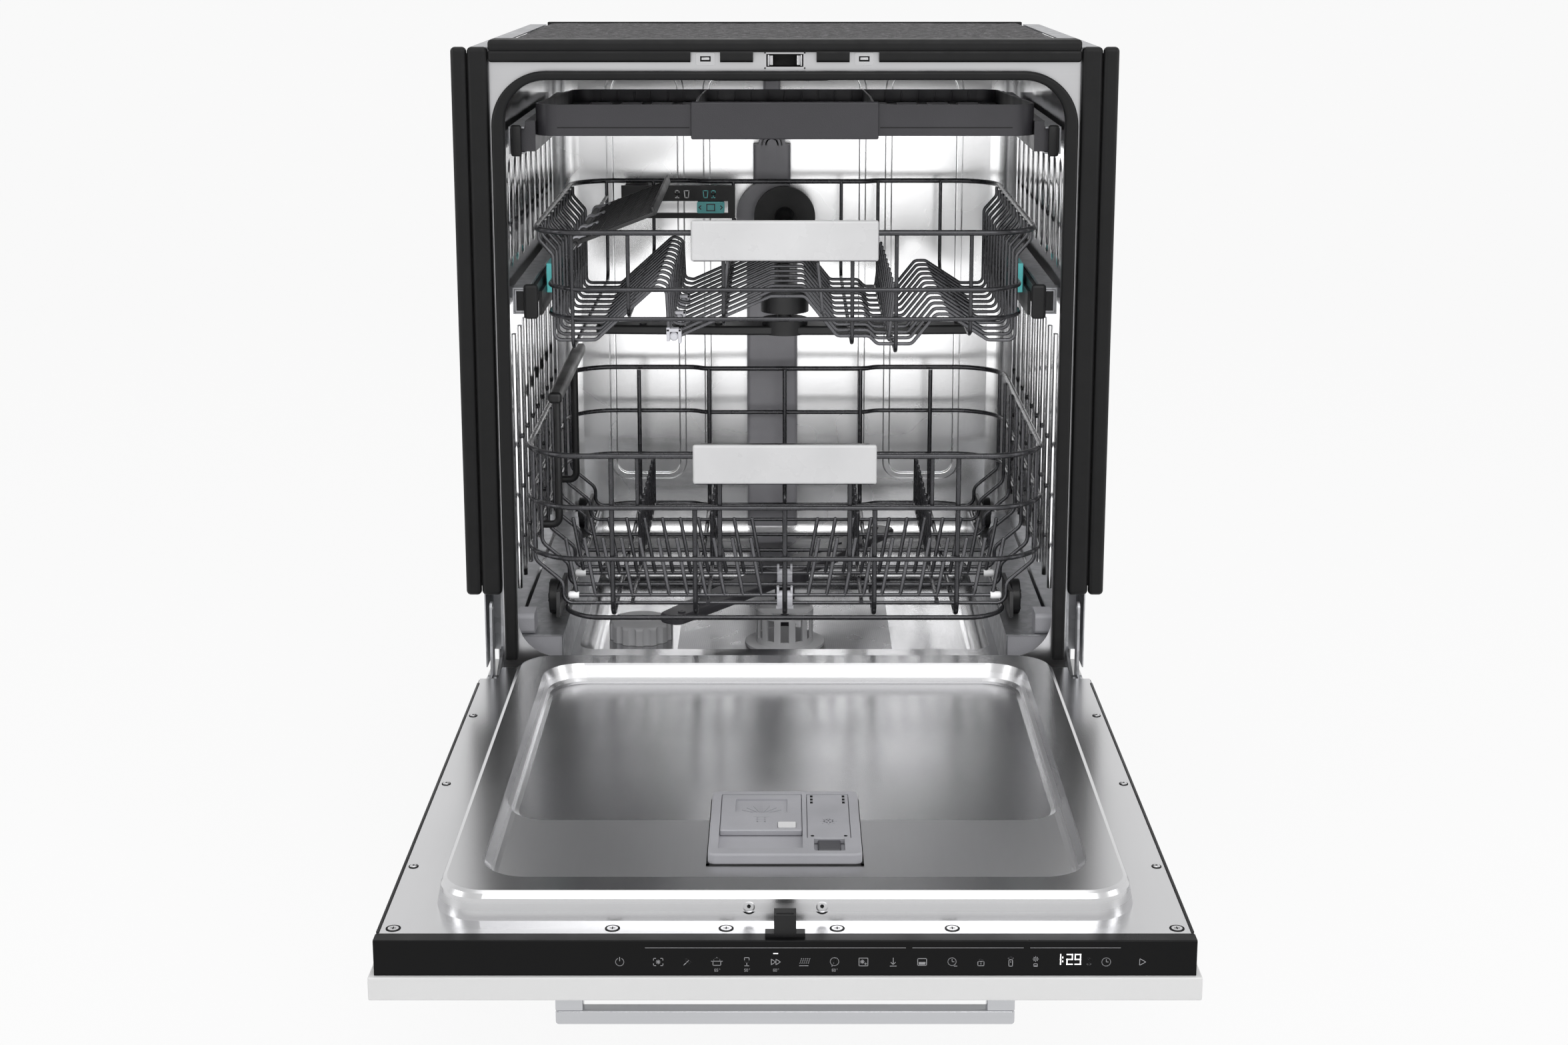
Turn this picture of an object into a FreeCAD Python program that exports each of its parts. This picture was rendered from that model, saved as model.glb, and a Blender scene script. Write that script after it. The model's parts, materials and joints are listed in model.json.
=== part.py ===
"""Built-in dishwasher with its door open: cabinet, door, two wire racks and a cutlery tray.

Millimetres. X runs to the right, Y into the machine and Z up from the floor. Depths are
written from the front plane of the tub, and the whole part is shifted on export so that its
origin lies under the middle of its bounding box. Door pieces are written as they stand with
the door closed and are then swung open about the hinge pins.
"""
import FreeCAD
import Part
import math
import os

V = FreeCAD.Vector

# Cabinet
BODY_WIDTH = 598.0
STRAP_TOP = 852.0
SHEET = 1.2
TUB_DEPTH = 525.0
BACK_SPACE = 20.0
SIDE_BAND = 33.0
TOP_BAND = 30.0
OPENING_BOTTOM = 250.0
OPENING_CORNER = 40.0
TUB_LIP = 4.0
CEILING_RISE = 8.0
SILL = 25.0
TUB_CORNER = 26.0
WELL_INSET = 55.0
WELL_START = 100.0
WELL_END = 440.0
WELL_DEPTH = 27.0
WELL_CORNER = 18.0
BEAD = 2.5
BEAD_WIDTH = 9.0
FLANGE_BAND = 14.0
FLANGE_RISE = 26.0
GASKET_WIDTH = 12.0
GASKET_TOP = 8.5
GASKET_GAP = 0.8
FELT = 8.0
FELT_CROWN = 23.0
FELT_FRONT = 36.0
FIT = 0.3

# Base and feet
BASE_INSET = 19.0
BASE_BOTTOM = 30.0
BASE_FRONT = 20.0
BASE_NOSE_TOP = 103.0
BASE_WALL = 4.0
FOOT_RADIUS = 22.0
FOOT_PAD = 9.0
STUD_RADIUS = 6.0
STUD_TOP = 62.0
FOOT_INSET_X = 30.0
FOOT_INSET_Y = 28.0
TOE_HEIGHT = 80.0
TOE_THICKNESS = 4.0

# Door
DOOR_GAP = 12.0
DOOR_THICKNESS = 27.5
DOOR_SIDE_GAP = 1.5
DOOR_TOP_DROP = 2.0
DOOR_FOOT = 2.0
PIVOT_INSET = 14.0
PIVOT_DROP = 16.0
OPEN_ANGLE = 90.0
CONTROL_HEIGHT = 12.0
CONTROL_WALL = 2.5
PAN_HEIGHT = 21.0
PAN_CLEARANCE = 5.0
PAN_DRAFT = 6.0
PAN_CORNER = 36.0
RIM_WIDTH = 26.0
RECESS_DEPTH = 17.0
LEDGE_DEPTH = 11.0
PANEL_OVERHANG = 3.0
PANEL_BOTTOM = 126.0
PANEL_THICKNESS = 18.0
PANEL_RISE = 3.0
HANDLE_LENGTH = 343.0
HANDLE_POST = 21.0
HANDLE_REACH = 42.0
HANDLE_BAR = 12.0
HANDLE_INSET = 50.0
PIN_RADIUS = 5.0
PIN_CLEARANCE = 0.06
ARM_PLATE = 2.5
LEVER_LENGTH = 75.0
HINGE_NOTCH = 36.0
HINGE_LEG = 190.0
HINGE_LUG = (110.0, 185.0)
BRACKET_RISE = 110.0
SCREW_INSET = 11.5
SPRING_RADIUS = 7.0
SPRING_LENGTH = 240.0

# Dispenser
DISPENSER_WIDTH = 119.0
DISPENSER_LENGTH = 130.0
DISPENSER_BACK = 29.0
DISPENSER_FACE = 9.0
DISPENSER_DROP = 78.0
DISPENSER_EDGE = 8.0
LID_THICKNESS = 5.0
LID_SEAT = 3.4
DETERGENT_WIDTH = 65.0
DETERGENT_LENGTH = 74.0
LID_TRAVEL = 36.0
RINSE_WIDTH = 34.0
RINSE_LENGTH = 90.0
RINSE_TAB = 18.0
RINSE_PIN = 1.0
RINSE_PIN_INSET = 1.5
BUTTON_WIDTH = 14.0
BUTTON_LENGTH = 11.0

# Racks
RACK_FRONT = 28.0
RACK_BACK_GAP = 41.0
WIRE = 2.5
RIM_WIRE = 2.8
THIN_WIRE = 2.0
LOWER_SIDE_GAP = 7.0
LOWER_RIM_RISE = 181.0
LOWER_FLOOR_RISE = 14.0
RAIL_STEP = 53.0
WHEEL_RADIUS = 18.0
WHEEL_WIDTH = 9.5
AXLE_RADIUS = 3.0
TINE_HEIGHT = 62.0
TINE_PITCH = 19.0
TINE_LEAN = 10.0
FOLD_INSET = 32.0
FOLD_SPACING = 80.0
FENCE_START = 155.0
HANDLE_PLATE = (182.0, 40.0, 6.0)
UPPER_RIM_DROP = 149.0
UPPER_SIDE_GAP = 19.0
UPPER_FLOOR_DROP = 111.0
FLOOR_WIRE = 1.8
LOW_RING_WIRE = 2.2
FLOOR_PITCH = 35.0
LENGTHWISE_SHARES = (-0.9095, -0.67, -0.262, 0.289, 0.477, 0.796)
TINE_SHARES = ((-0.271, 0.1), (0.166, -0.1), (0.455, 0.12))
BRACKET_INSET = 38.7
BRACKET_WIDTH = 132.0
BRACKET_HEIGHT = 38.0
BRACKET_POST = 40.0
BRACKET_EDGE = 8.0
SLIDER_WIDTH = 32.0
SLIDER_HEIGHT = 14.0
LIFT_LEVER_START = 92.0
LIFT_LEVER_LENGTH = 40.0
LIFT_LEVER_DROP = 8.0
LIFT_LEVER_RISE = 22.0
RAIL_HEIGHT = 26.0
RAIL_WALL = 1.5
RAIL_BACK_GAP = 37.0
RAIL_SLOT = 0.4
RAIL_DROP = 66.0
LIFT_GAP = 4.0
LIFT_PLATE = 3.0
SHELF_WIDTH = 86.0
SHELF_LENGTH = 290.0
SHELF_TILT = 21.0
TRAY_DROP = 25.0
TRAY_HEIGHT = 30.0
TRAY_FALL = 14.0
TRAY_WALL = 2.5
TRAY_BACK_GAP = 49.0
TRAY_SIDE_GAP = 25.0
TRAY_FRONT_WIDTH = 180.0

# Water path
SUMP_Y = 225.0
SUMP_RADIUS = 70.0
FILTER_Y = 198.0
FILTER_RADIUS = 36.0
HUB_SETBACK = 9.0
HUB_POST = 11.0
ARM_GAP = 5.0
TRACK_LAP = 4.0
ARM_ANGLE = 56.0
UPPER_ARM_INSET = 37.7
ARM_THICKNESS = 10.0
DUCT_WIDTH = 60.0
DUCT_DEPTH = 22.0
DUCT_X = -15.0
DOCK_RADIUS = 42.0
FEED_RADIUS = 12.0
FILTER_PLATE = 116.0
PUMP_RADIUS = 44.0
PUMP_LENGTH = 110.0
PUMP_X = 95.0
PUMP_OFFSET = 70.0
DRAIN_RADIUS = 30.0
SUMP_DEPTH = 86.0
CAP_RADIUS = 35.0
CAP_INSET = 57.0
CAP_Y = 225.0
SPIGOT_RADIUS = 9.5
SPIGOT_TIP = 8.5
SPIGOT_LENGTH = 17.0
SPIGOT_SHOULDER = 2.0

# Derived places
BODY_HALF = BODY_WIDTH / 2
BASE_BACK = TUB_DEPTH + BACK_SPACE
BODY_DEPTH = BASE_BACK + SPIGOT_SHOULDER + SPIGOT_LENGTH
OPENING_HALF = BODY_HALF - SIDE_BAND
OPENING_TOP = STRAP_TOP - TOP_BAND
FLANGE_HALF = OPENING_HALF + FLANGE_BAND
FLANGE_TOP = OPENING_TOP + FLANGE_RISE
TUB_HALF = OPENING_HALF + TUB_LIP
WELL_HALF = TUB_HALF - WELL_INSET
TUB_FLOOR = OPENING_BOTTOM - SILL
CAP_X = CAP_INSET - WELL_HALF
TUB_CEILING = OPENING_TOP + CEILING_RISE
WELL_FLOOR = TUB_FLOOR - WELL_DEPTH
BASE_HALF = BODY_HALF - BASE_INSET
BASE_TOP = TUB_FLOOR - SHEET
PIVOT_Y = -DOOR_GAP - PIVOT_INSET
PIVOT_Z = OPENING_BOTTOM - PIVOT_DROP
DOOR_TOP = STRAP_TOP - DOOR_TOP_DROP
DOOR_BOTTOM = PIVOT_Z + DOOR_FOOT
DOOR_INNER = -DOOR_GAP
DOOR_OUTER = -DOOR_GAP - DOOR_THICKNESS
DOOR_HALF = BODY_HALF - DOOR_SIDE_GAP
PANEL_HALF = BODY_HALF + PANEL_OVERHANG
SHELL_TOP = DOOR_TOP - CONTROL_HEIGHT
PANEL_TOP = DOOR_TOP + PANEL_RISE
PAN_FACE = DOOR_INNER + PAN_HEIGHT
ROLL_Z = PIVOT_Z + PIVOT_INSET + PAN_HEIGHT + FIT
FRONT_REACH = PANEL_TOP - PIVOT_Z - PIVOT_Y
FRONT_Y = (FRONT_REACH - BODY_DEPTH) / 2
RACK_BACK = TUB_DEPTH - RACK_BACK_GAP
HUB_Y = (RACK_FRONT + RACK_BACK) / 2 + HUB_SETBACK
LOWER_RIM = ROLL_Z + LOWER_RIM_RISE
LOWER_FLOOR = ROLL_Z + LOWER_FLOOR_RISE
LOWER_RING = OPENING_HALF - LOWER_SIDE_GAP
LOWER_HALF = LOWER_RING - 2 * WIRE
LOWER_NARROW = LOWER_HALF - 28.0
TRACK_INNER = LOWER_NARROW - TRACK_LAP
ARM_REACH = TRACK_INNER - ARM_GAP
UPPER_RIM = OPENING_TOP - UPPER_RIM_DROP
UPPER_RING = OPENING_HALF - UPPER_SIDE_GAP
UPPER_HALF = UPPER_RING - WIRE - FLOOR_WIRE
UPPER_NARROW = UPPER_HALF - 14.0
UPPER_ARM_REACH = UPPER_HALF - UPPER_ARM_INSET
UPPER_LENGTHWISE = [UPPER_NARROW * share for share in LENGTHWISE_SHARES]
UPPER_FLOOR = UPPER_RIM - UPPER_FLOOR_DROP
RAIL_Z = UPPER_RIM - RAIL_DROP
TRAY_HALF = OPENING_HALF - TRAY_SIDE_GAP
TRAY_TOP = OPENING_TOP - TRAY_DROP
TRAY_BOTTOM = TRAY_TOP - TRAY_HEIGHT
ARM_Z = ROLL_Z - 13.0


def box(x0, x1, y0, y1, z0, z1):
    return Part.makeBox(x1 - x0, y1 - y0, z1 - z0, V(x0, y0, z0))


def rounded_box(x0, x1, y0, y1, z0, z1, radius, axis=None):
    """Box with every edge rounded, or only the edges along one axis."""
    solid = box(x0, x1, y0, y1, z0, z1)
    edges = solid.Edges
    if axis is not None:
        edges = [e for e in edges if abs(e.tangentAt(e.FirstParameter).dot(axis)) > 0.99]
    return solid.makeFillet(radius, edges)


def cylinder(x, y, z, radius, length, axis=V(0, 0, 1)):
    return Part.makeCylinder(radius, length, V(x, y, z), axis)


def prism_yz(points, x0, x1):
    """Polygon given as (y, z) points, extruded from x0 to x1."""
    corners = [V(x0, y, z) for y, z in points]
    return Part.Face(Part.makePolygon(corners + corners[:1])).extrude(V(x1 - x0, 0, 0))


def prism_xy(points, z0, z1):
    """Polygon given as (x, y) points, extruded from z0 to z1."""
    corners = [V(x, y, z0) for x, y in points]
    return Part.Face(Part.makePolygon(corners + corners[:1])).extrude(V(0, 0, z1 - z0))


def window(half, z0, z1, radius, y):
    """Rounded rectangle, centred on X = 0, in the plane at depth y."""
    side = half - radius
    corner = radius * (1 - math.sqrt(0.5))
    low, high = z0 + radius, z1 - radius
    edges = [
        Part.LineSegment(V(-side, y, z0), V(side, y, z0)),
        Part.Arc(V(side, y, z0), V(half - corner, y, z0 + corner), V(half, y, low)),
        Part.LineSegment(V(half, y, low), V(half, y, high)),
        Part.Arc(V(half, y, high), V(half - corner, y, z1 - corner), V(side, y, z1)),
        Part.LineSegment(V(side, y, z1), V(-side, y, z1)),
        Part.Arc(V(-side, y, z1), V(corner - half, y, z1 - corner), V(-half, y, high)),
        Part.LineSegment(V(-half, y, high), V(-half, y, low)),
        Part.Arc(V(-half, y, low), V(corner - half, y, z0 + corner), V(-side, y, z0)),
    ]
    return Part.Wire([edge.toShape() for edge in edges])


def window_block(half, z0, z1, radius, y0, y1):
    return Part.Face(window(half, z0, z1, radius, y0)).extrude(V(0, y1 - y0, 0))


def pressed_block(half, z0, z1, radius, steps):
    """Stack of rounded rectangles; each step is a depth and how far the edge is drawn in."""
    wires = [window(half - d, z0 + d, z1 - d, radius - d / 2, y) for y, d in steps]
    return Part.makeLoft(wires, True, True)


def path_edges(points, bend, closed, parts=1):
    """Straight runs with a tangent bend, in one or more arcs, of at most the given radius at each corner."""
    count = len(points)
    corners = {}
    for i in range(0 if closed else 1, count if closed else count - 1):
        back = points[i - 1] - points[i]
        ahead = points[(i + 1) % count] - points[i]
        shorter = min(back.Length, ahead.Length)
        back.normalize()
        ahead.normalize()
        turn = math.pi - back.getAngle(ahead)
        radius = min(bend, 0.45 * shorter / math.tan(turn / 2))
        reach = radius * math.tan(turn / 2)
        middle = (back + ahead).normalize()
        deep = radius / math.cos(turn / 2) - radius
        corners[i] = (points[i] + back * reach, points[i] + middle * deep, points[i] + ahead * reach)
    edges = []
    last = corners[count - 1][2] if closed else points[0]
    for i in range(0 if closed else 1, count):
        if i in corners:
            start, middle, end = corners[i]
            edges.append(Part.LineSegment(last, start).toShape())
            arc = Part.Arc(start, middle, end)
            first = arc.FirstParameter
            part = (arc.LastParameter - first) / parts
            edges += [arc.toShape(first + k * part, first + (k + 1) * part) for k in range(parts)]
            last = end
        else:
            edges.append(Part.LineSegment(last, points[i]).toShape())
    return edges


def sweep(edges, radius):
    """Round bar along a chain of tangent edges."""
    first = edges[0]
    start = first.valueAt(first.FirstParameter)
    along = first.tangentAt(first.FirstParameter)
    pipe = Part.BRepOffsetAPI.MakePipeShell(Part.Wire(edges))
    pipe.add(Part.Wire([Part.makeCircle(radius, start, along)]))
    pipe.build()
    pipe.makeSolid()
    return pipe.shape()


def rod(points, radius, bend=10.0):
    """Round wire along straight runs and tangent bends."""
    return sweep(path_edges([V(*p) for p in points], bend, False), radius)


def lengths(points, radius, bend, cuts, closed=False, parts=1):
    """Round wire in several lengths that meet end to end, cut at the given runs and bends."""
    edges = path_edges([V(*p) for p in points], bend, closed, parts)
    marks = [0] + list(cuts) + [len(edges)]
    return [sweep(edges[a:b], radius) for a, b in zip(marks, marks[1:])]


def tine(foot, direction, length, radius):
    """Upright wire with a rounded tip."""
    straight = length - radius
    outline = [
        Part.LineSegment(V(0, 0, 0), V(radius, 0, 0)).toShape(),
        Part.LineSegment(V(radius, 0, 0), V(radius, 0, straight)).toShape(),
        Part.Arc(V(radius, 0, straight), V(radius * math.sqrt(0.5), 0, straight + radius * math.sqrt(0.5)),
                 V(0, 0, length)).toShape(),
        Part.LineSegment(V(0, 0, length), V(0, 0, 0)).toShape(),
    ]
    solid = Part.Face(Part.Wire(outline)).revolve(V(0, 0, 0), V(0, 0, 1), 360)
    solid.Placement = FreeCAD.Placement(V(*foot), FreeCAD.Rotation(V(0, 0, 1), V(*direction)))
    return solid


def fuse(shapes):
    return shapes[0].fuse(shapes[1:]).removeSplitter()


def mirrored(shape):
    return shape.mirror(V(0, 0, 0), V(1, 0, 0))


def both(shape):
    return [shape, mirrored(shape)]


def spread(start, end, pitch):
    """Evenly spaced places from start to end, about a pitch apart."""
    count = max(1, round((end - start) / pitch))
    return [start + (end - start) * i / count for i in range(count + 1)]


def opened(shape):
    """Swing a piece of the closed door to the open pose."""
    turned = shape.copy()
    turned.rotate(V(0, PIVOT_Y, PIVOT_Z), V(1, 0, 0), OPEN_ANGLE)
    return turned


def save(name, shapes):
    whole = Part.makeCompound(shapes) if len(shapes) > 1 else shapes[0].copy()
    whole.translate(V(0, FRONT_Y, 0))
    whole.exportStep("parts/" + name + ".step")


def save_door(name, shapes):
    save(name, [opened(shape) for shape in shapes])


def make_base():
    """Open-topped plastic tray under the tub, with a low nose below the swinging door panel."""
    nose_back = WELL_START - SHEET - BASE_WALL - 1.0
    outline = [(BASE_FRONT, BASE_BOTTOM), (BASE_BACK, BASE_BOTTOM), (BASE_BACK, BASE_TOP),
               (nose_back, BASE_TOP), (nose_back, BASE_NOSE_TOP + 45.0), (BASE_FRONT, BASE_NOSE_TOP)]
    wall = BASE_WALL
    hollow = [(BASE_FRONT + wall, BASE_BOTTOM + wall), (BASE_BACK - wall, BASE_BOTTOM + wall),
              (BASE_BACK - wall, BASE_TOP + 1), (nose_back + wall, BASE_TOP + 1),
              (nose_back + wall, BASE_NOSE_TOP + 43.0), (BASE_FRONT + wall, BASE_NOSE_TOP - wall / 2)]
    pan = prism_yz(outline, -BASE_HALF, BASE_HALF)
    pan = pan.cut(prism_yz(hollow, wall - BASE_HALF, BASE_HALF - wall))
    bosses = []
    bores = []
    for x, y in foot_places():
        bosses.append(cylinder(x, y, BASE_BOTTOM + wall / 2, STUD_RADIUS + 6.0, STUD_TOP - BASE_BOTTOM))
        bores.append(cylinder(x, y, 0, STUD_RADIUS + FIT, STRAP_TOP))
    pan = fuse([pan] + bosses)
    bores.append(cylinder(valve_x(), 0, valve_z(), SPIGOT_RADIUS + FIT, BODY_DEPTH, V(0, 1, 0)).common(
        box(0, BODY_HALF, TUB_DEPTH, BODY_DEPTH, 0, STRAP_TOP)))
    bores.append(cylinder(-valve_x(), 0, valve_z(), SPIGOT_RADIUS + FIT, BODY_DEPTH, V(0, 1, 0)).common(
        box(-BODY_HALF, 0, TUB_DEPTH, BODY_DEPTH, 0, STRAP_TOP)))
    save("base_pan", [pan.cut(Part.makeCompound(bores))])
    toe = rounded_box(-BODY_HALF + 6, BODY_HALF - 6, BASE_FRONT - TOE_THICKNESS, BASE_FRONT,
                      BASE_NOSE_TOP - TOE_HEIGHT, BASE_NOSE_TOP, 1.0)
    save("toe_plate", [toe])


def foot_places():
    x = BASE_HALF - FOOT_INSET_X
    front = BASE_FRONT + FOOT_INSET_Y
    back = BASE_BACK - FOOT_INSET_Y
    return [(-x, front), (x, front), (-x, back), (x, back)]


def valve_x():
    return BASE_HALF - 90.0


def valve_z():
    return BASE_BOTTOM + BASE_WALL + 36.0


def make_feet():
    """Four levelling feet: round pad, hexagon and threaded stud."""
    feet = []
    for x, y in foot_places():
        pad = cylinder(x, y, 0, FOOT_RADIUS, FOOT_PAD)
        pad = pad.makeFillet(FOOT_PAD / 3, [pad.Edges[0]])
        turns = [k * math.pi / 3 for k in range(6)]
        hexagon = [(x + 11.0 * math.cos(turn), y + 11.0 * math.sin(turn)) for turn in turns]
        nut = prism_xy(hexagon, FOOT_PAD, FOOT_PAD + 8.0)
        feet.append(fuse([pad, nut, cylinder(x, y, FOOT_PAD, STUD_RADIUS, STUD_TOP - FOOT_PAD)]))
    save("levelling_feet", feet)


def make_side_frames():
    """Bent steel frames: top strap, front channel, middle and rear posts and a bottom rail."""
    outer0, outer1 = BODY_HALF - SHEET, BODY_HALF
    inner = FLANGE_HALF
    under_strap = STRAP_TOP - SHEET
    strap_back = TUB_DEPTH + 10.0
    channel_bottom = OPENING_BOTTOM - 12.0
    channel_back = 62.0
    foot_z = BASE_BOTTOM + 30.0
    pieces = [
        box(inner, outer1, 10.0, strap_back, under_strap, STRAP_TOP),
        box(inner, inner + SHEET, SHEET + 1, channel_back, channel_bottom, under_strap),
        box(outer0, outer1, SHEET + 1, channel_back, channel_bottom, under_strap),
        box(inner, outer1, channel_back - SHEET, channel_back, channel_bottom, under_strap),
        box(outer0, outer1, WELL_START, WELL_START + 35.0, foot_z, under_strap),
        box(outer0, outer1, strap_back - 40.0, strap_back, foot_z, under_strap),
        box(inner, outer1, strap_back - SHEET, strap_back, foot_z, under_strap),
        box(outer0, outer1, WELL_START, strap_back, foot_z, foot_z + 40.0),
        box(BASE_HALF, outer1, WELL_START, strap_back, foot_z, foot_z + SHEET),
    ]
    frame = fuse(pieces)
    holes = [cylinder(BODY_HALF - 10, 30.0, z, 2.5, 20.0, V(1, 0, 0)) for z in side_hole_heights()]
    save("side_frames", both(frame.cut(Part.makeCompound(holes))))


def side_hole_heights():
    return [OPENING_BOTTOM + 150.0, OPENING_TOP - 40.0]


def tub_solid(grow, back_grow):
    """Outside of the tub cavity, grown by a wall thickness, with its floor well."""
    cavity = rounded_box(-TUB_HALF - grow, TUB_HALF + grow, -100.0, TUB_DEPTH + back_grow,
                         TUB_FLOOR - grow, TUB_CEILING + grow, TUB_CORNER + grow)
    half = WELL_HALF + grow
    well = rounded_box(-half, half, WELL_START - grow, WELL_END + grow,
                       WELL_FLOOR - grow, TUB_FLOOR + 60.0, WELL_CORNER + grow)
    return cavity.fuse(well)


def bead_ring(x0, x1, z0, z1, radius):
    """Raised rounded-rectangle bead on the back wall."""
    middle = (x0 + x1) / 2
    half = (x1 - x0) / 2
    outer = window_block(half, z0, z1, radius, TUB_DEPTH - BEAD, TUB_DEPTH + SHEET / 2)
    inset = BEAD_WIDTH
    inner = window_block(half - inset, z0 + inset, z1 - inset, radius - inset, TUB_DEPTH - 2 * BEAD,
                         TUB_DEPTH + SHEET)
    ring = outer.cut(inner)
    face = [e for e in ring.Edges if all(abs(v.Y - TUB_DEPTH + BEAD) < 0.01 for v in e.Vertexes)]
    ring = ring.makeFillet(0.85 * BEAD, face)
    ring.translate(V(middle, 0, 0))
    return ring


def side_bead(y, z0, z1):
    """Vertical half-round bead on the right wall."""
    radius = (BEAD_WIDTH ** 2 / 4 + BEAD ** 2) / (2 * BEAD)
    x = TUB_HALF - BEAD + radius
    ridge = cylinder(x, y, z0, radius, z1 - z0)
    return ridge.common(box(TUB_HALF - BEAD, TUB_HALF + SHEET / 2, y - BEAD_WIDTH, y + BEAD_WIDTH, z0, z1))


def make_tub():
    """Stainless tub: bent wrapper, back panel and floor pan behind a front flange."""
    shell = tub_solid(SHEET, SHEET).cut(tub_solid(0, 0))
    shell = shell.common(box(-BODY_HALF, BODY_HALF, SHEET, BODY_DEPTH, 0, STRAP_TOP))
    seam_z = TUB_FLOOR + TUB_CORNER + 8.0
    seam_y = TUB_DEPTH - TUB_CORNER - 6.0
    floor = shell.common(box(-BODY_HALF, BODY_HALF, 0, seam_y, 0, seam_z))
    back = shell.common(box(-BODY_HALF, BODY_HALF, seam_y, BODY_DEPTH, 0, STRAP_TOP))
    wrapper = shell.common(box(-BODY_HALF, BODY_HALF, 0, seam_y, seam_z, STRAP_TOP))
    low = seam_z + 45.0
    high = TUB_CEILING - 30.0
    edge = TUB_HALF - TUB_CORNER - 32.0
    inner = edge - 93.0
    rings = [bead_ring(-edge, -inner, low, high, 22.0), bead_ring(inner, edge, low, high, 22.0),
             bead_ring(22.0 - inner, inner - 22.0, low, high, 22.0)]
    save("tub_back", [fuse([back] + rings)])
    ribs = [side_bead(y, low, RAIL_Z - 40.0) for y in spread(60.0, seam_y - 40.0, 52.0)]
    ribs += [mirrored(rib) for rib in ribs]
    save("tub_wrapper", [fuse([wrapper] + ribs)])
    holes = [cylinder(0, FILTER_Y, 0, FILTER_RADIUS + 4.0, STRAP_TOP),
             cylinder(0, HUB_Y, 0, HUB_POST + 1.5, STRAP_TOP),
             cylinder(CAP_X, CAP_Y, 0, neck_radius() + FIT, STRAP_TOP)]
    save("tub_floor", [floor.cut(Part.makeCompound(holes))])
    flange = window_block(FLANGE_HALF, BASE_TOP, FLANGE_TOP, 12.0, 0, SHEET)
    hole = window_block(OPENING_HALF, OPENING_BOTTOM, OPENING_TOP, OPENING_CORNER, -1, SHEET + 1)
    slot = box(-latch_half(), latch_half(), -1, SHEET + 1, strike_z()[0] - 2.5, strike_z()[1] + 1.5)
    save("tub_flange", [flange.cut(hole).cut(slot)])


def neck_radius():
    return CAP_RADIUS - 13.0


def latch_half():
    return 17.5


def strike_z():
    """Lower and upper height of the strike on the closed door, just above the gasket."""
    low = OPENING_TOP + GASKET_WIDTH + 2.5
    return low, low + 8.0


def make_felt():
    """Felt blanket folded over the sides of the tub, with a thick mat on the ceiling between the straps."""
    y0, y1 = 48.0, TUB_DEPTH - TUB_CORNER
    skin = SHEET + 0.5
    span = box(-BODY_HALF, BODY_HALF, y0, y1, OPENING_BOTTOM + 60.0, STRAP_TOP)
    blanket = tub_solid(skin + FELT, 0).cut(tub_solid(skin, 0)).common(span)
    half = FLANGE_HALF - 2.0
    crown = rounded_box(-half, half, FELT_FRONT, TUB_DEPTH, TUB_CEILING + skin,
                        TUB_CEILING + skin + FELT_CROWN, 4.0, V(0, 1, 0))
    save("tub_felt", [fuse([blanket, crown])])


def make_trims():
    """Black rubber strips: two-lobed side strips and a two-lobed top strip notched for the latch."""
    bottom = OPENING_BOTTOM + 66.0
    top = STRAP_TOP + 1.0
    x0 = FLANGE_HALF + FIT
    inner = rounded_box(x0, x0 + 19.5, -9.0, 1.0, bottom, top, 4.4)
    outer = rounded_box(x0 + 20.0, x0 + 35.0, -9.0, 1.0, bottom, top, 4.4)
    web = box(x0 + 3.0, x0 + 32.0, -1.0, 1.8, bottom + 8.0, top - 6.0)
    side = fuse([inner, outer, web])
    reach = FLANGE_HALF
    upper = rounded_box(-reach, reach, -9.0, 26.0, FLANGE_TOP + FIT, STRAP_TOP + 8.0, 4.0)
    lower = rounded_box(-reach, reach, -9.0, -FIT, FLANGE_TOP - 9.5, FLANGE_TOP + 2.5, 3.5)
    top_strip = fuse([upper, lower])
    notches = [box(-30.0, 30.0, -20.0, 0, 0, FLANGE_TOP)]
    notches += both(box(tab_x() - 14.0, tab_x() + 14.0, -20.0, 0, 0, FLANGE_TOP))
    save("rubber_trims", both(side) + [top_strip.cut(Part.makeCompound(notches))])


def tab_x():
    return 75.0


def make_gasket():
    """Door seal: an arch of rubber round the sides and the top of the opening."""
    width = GASKET_WIDTH
    front = GASKET_GAP - DOOR_GAP
    outer = window_block(OPENING_HALF + width, OPENING_BOTTOM - 60.0, OPENING_TOP + GASKET_TOP,
                         OPENING_CORNER + width, front, 0)
    inner = window_block(OPENING_HALF, OPENING_BOTTOM - 80.0, OPENING_TOP, OPENING_CORNER, front - 1, 1)
    arch = outer.cut(inner).common(box(-BODY_HALF, BODY_HALF, front, 0, OPENING_BOTTOM, STRAP_TOP))
    rims = [e for e in arch.Edges if all(abs(v.Y - front) < 0.01 and v.Z > OPENING_BOTTOM - 1
                                         for v in e.Vertexes) and e.Length > width + 1]
    save("door_gasket", [arch.makeFillet(GASKET_TOP / 3, rims)])


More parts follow.
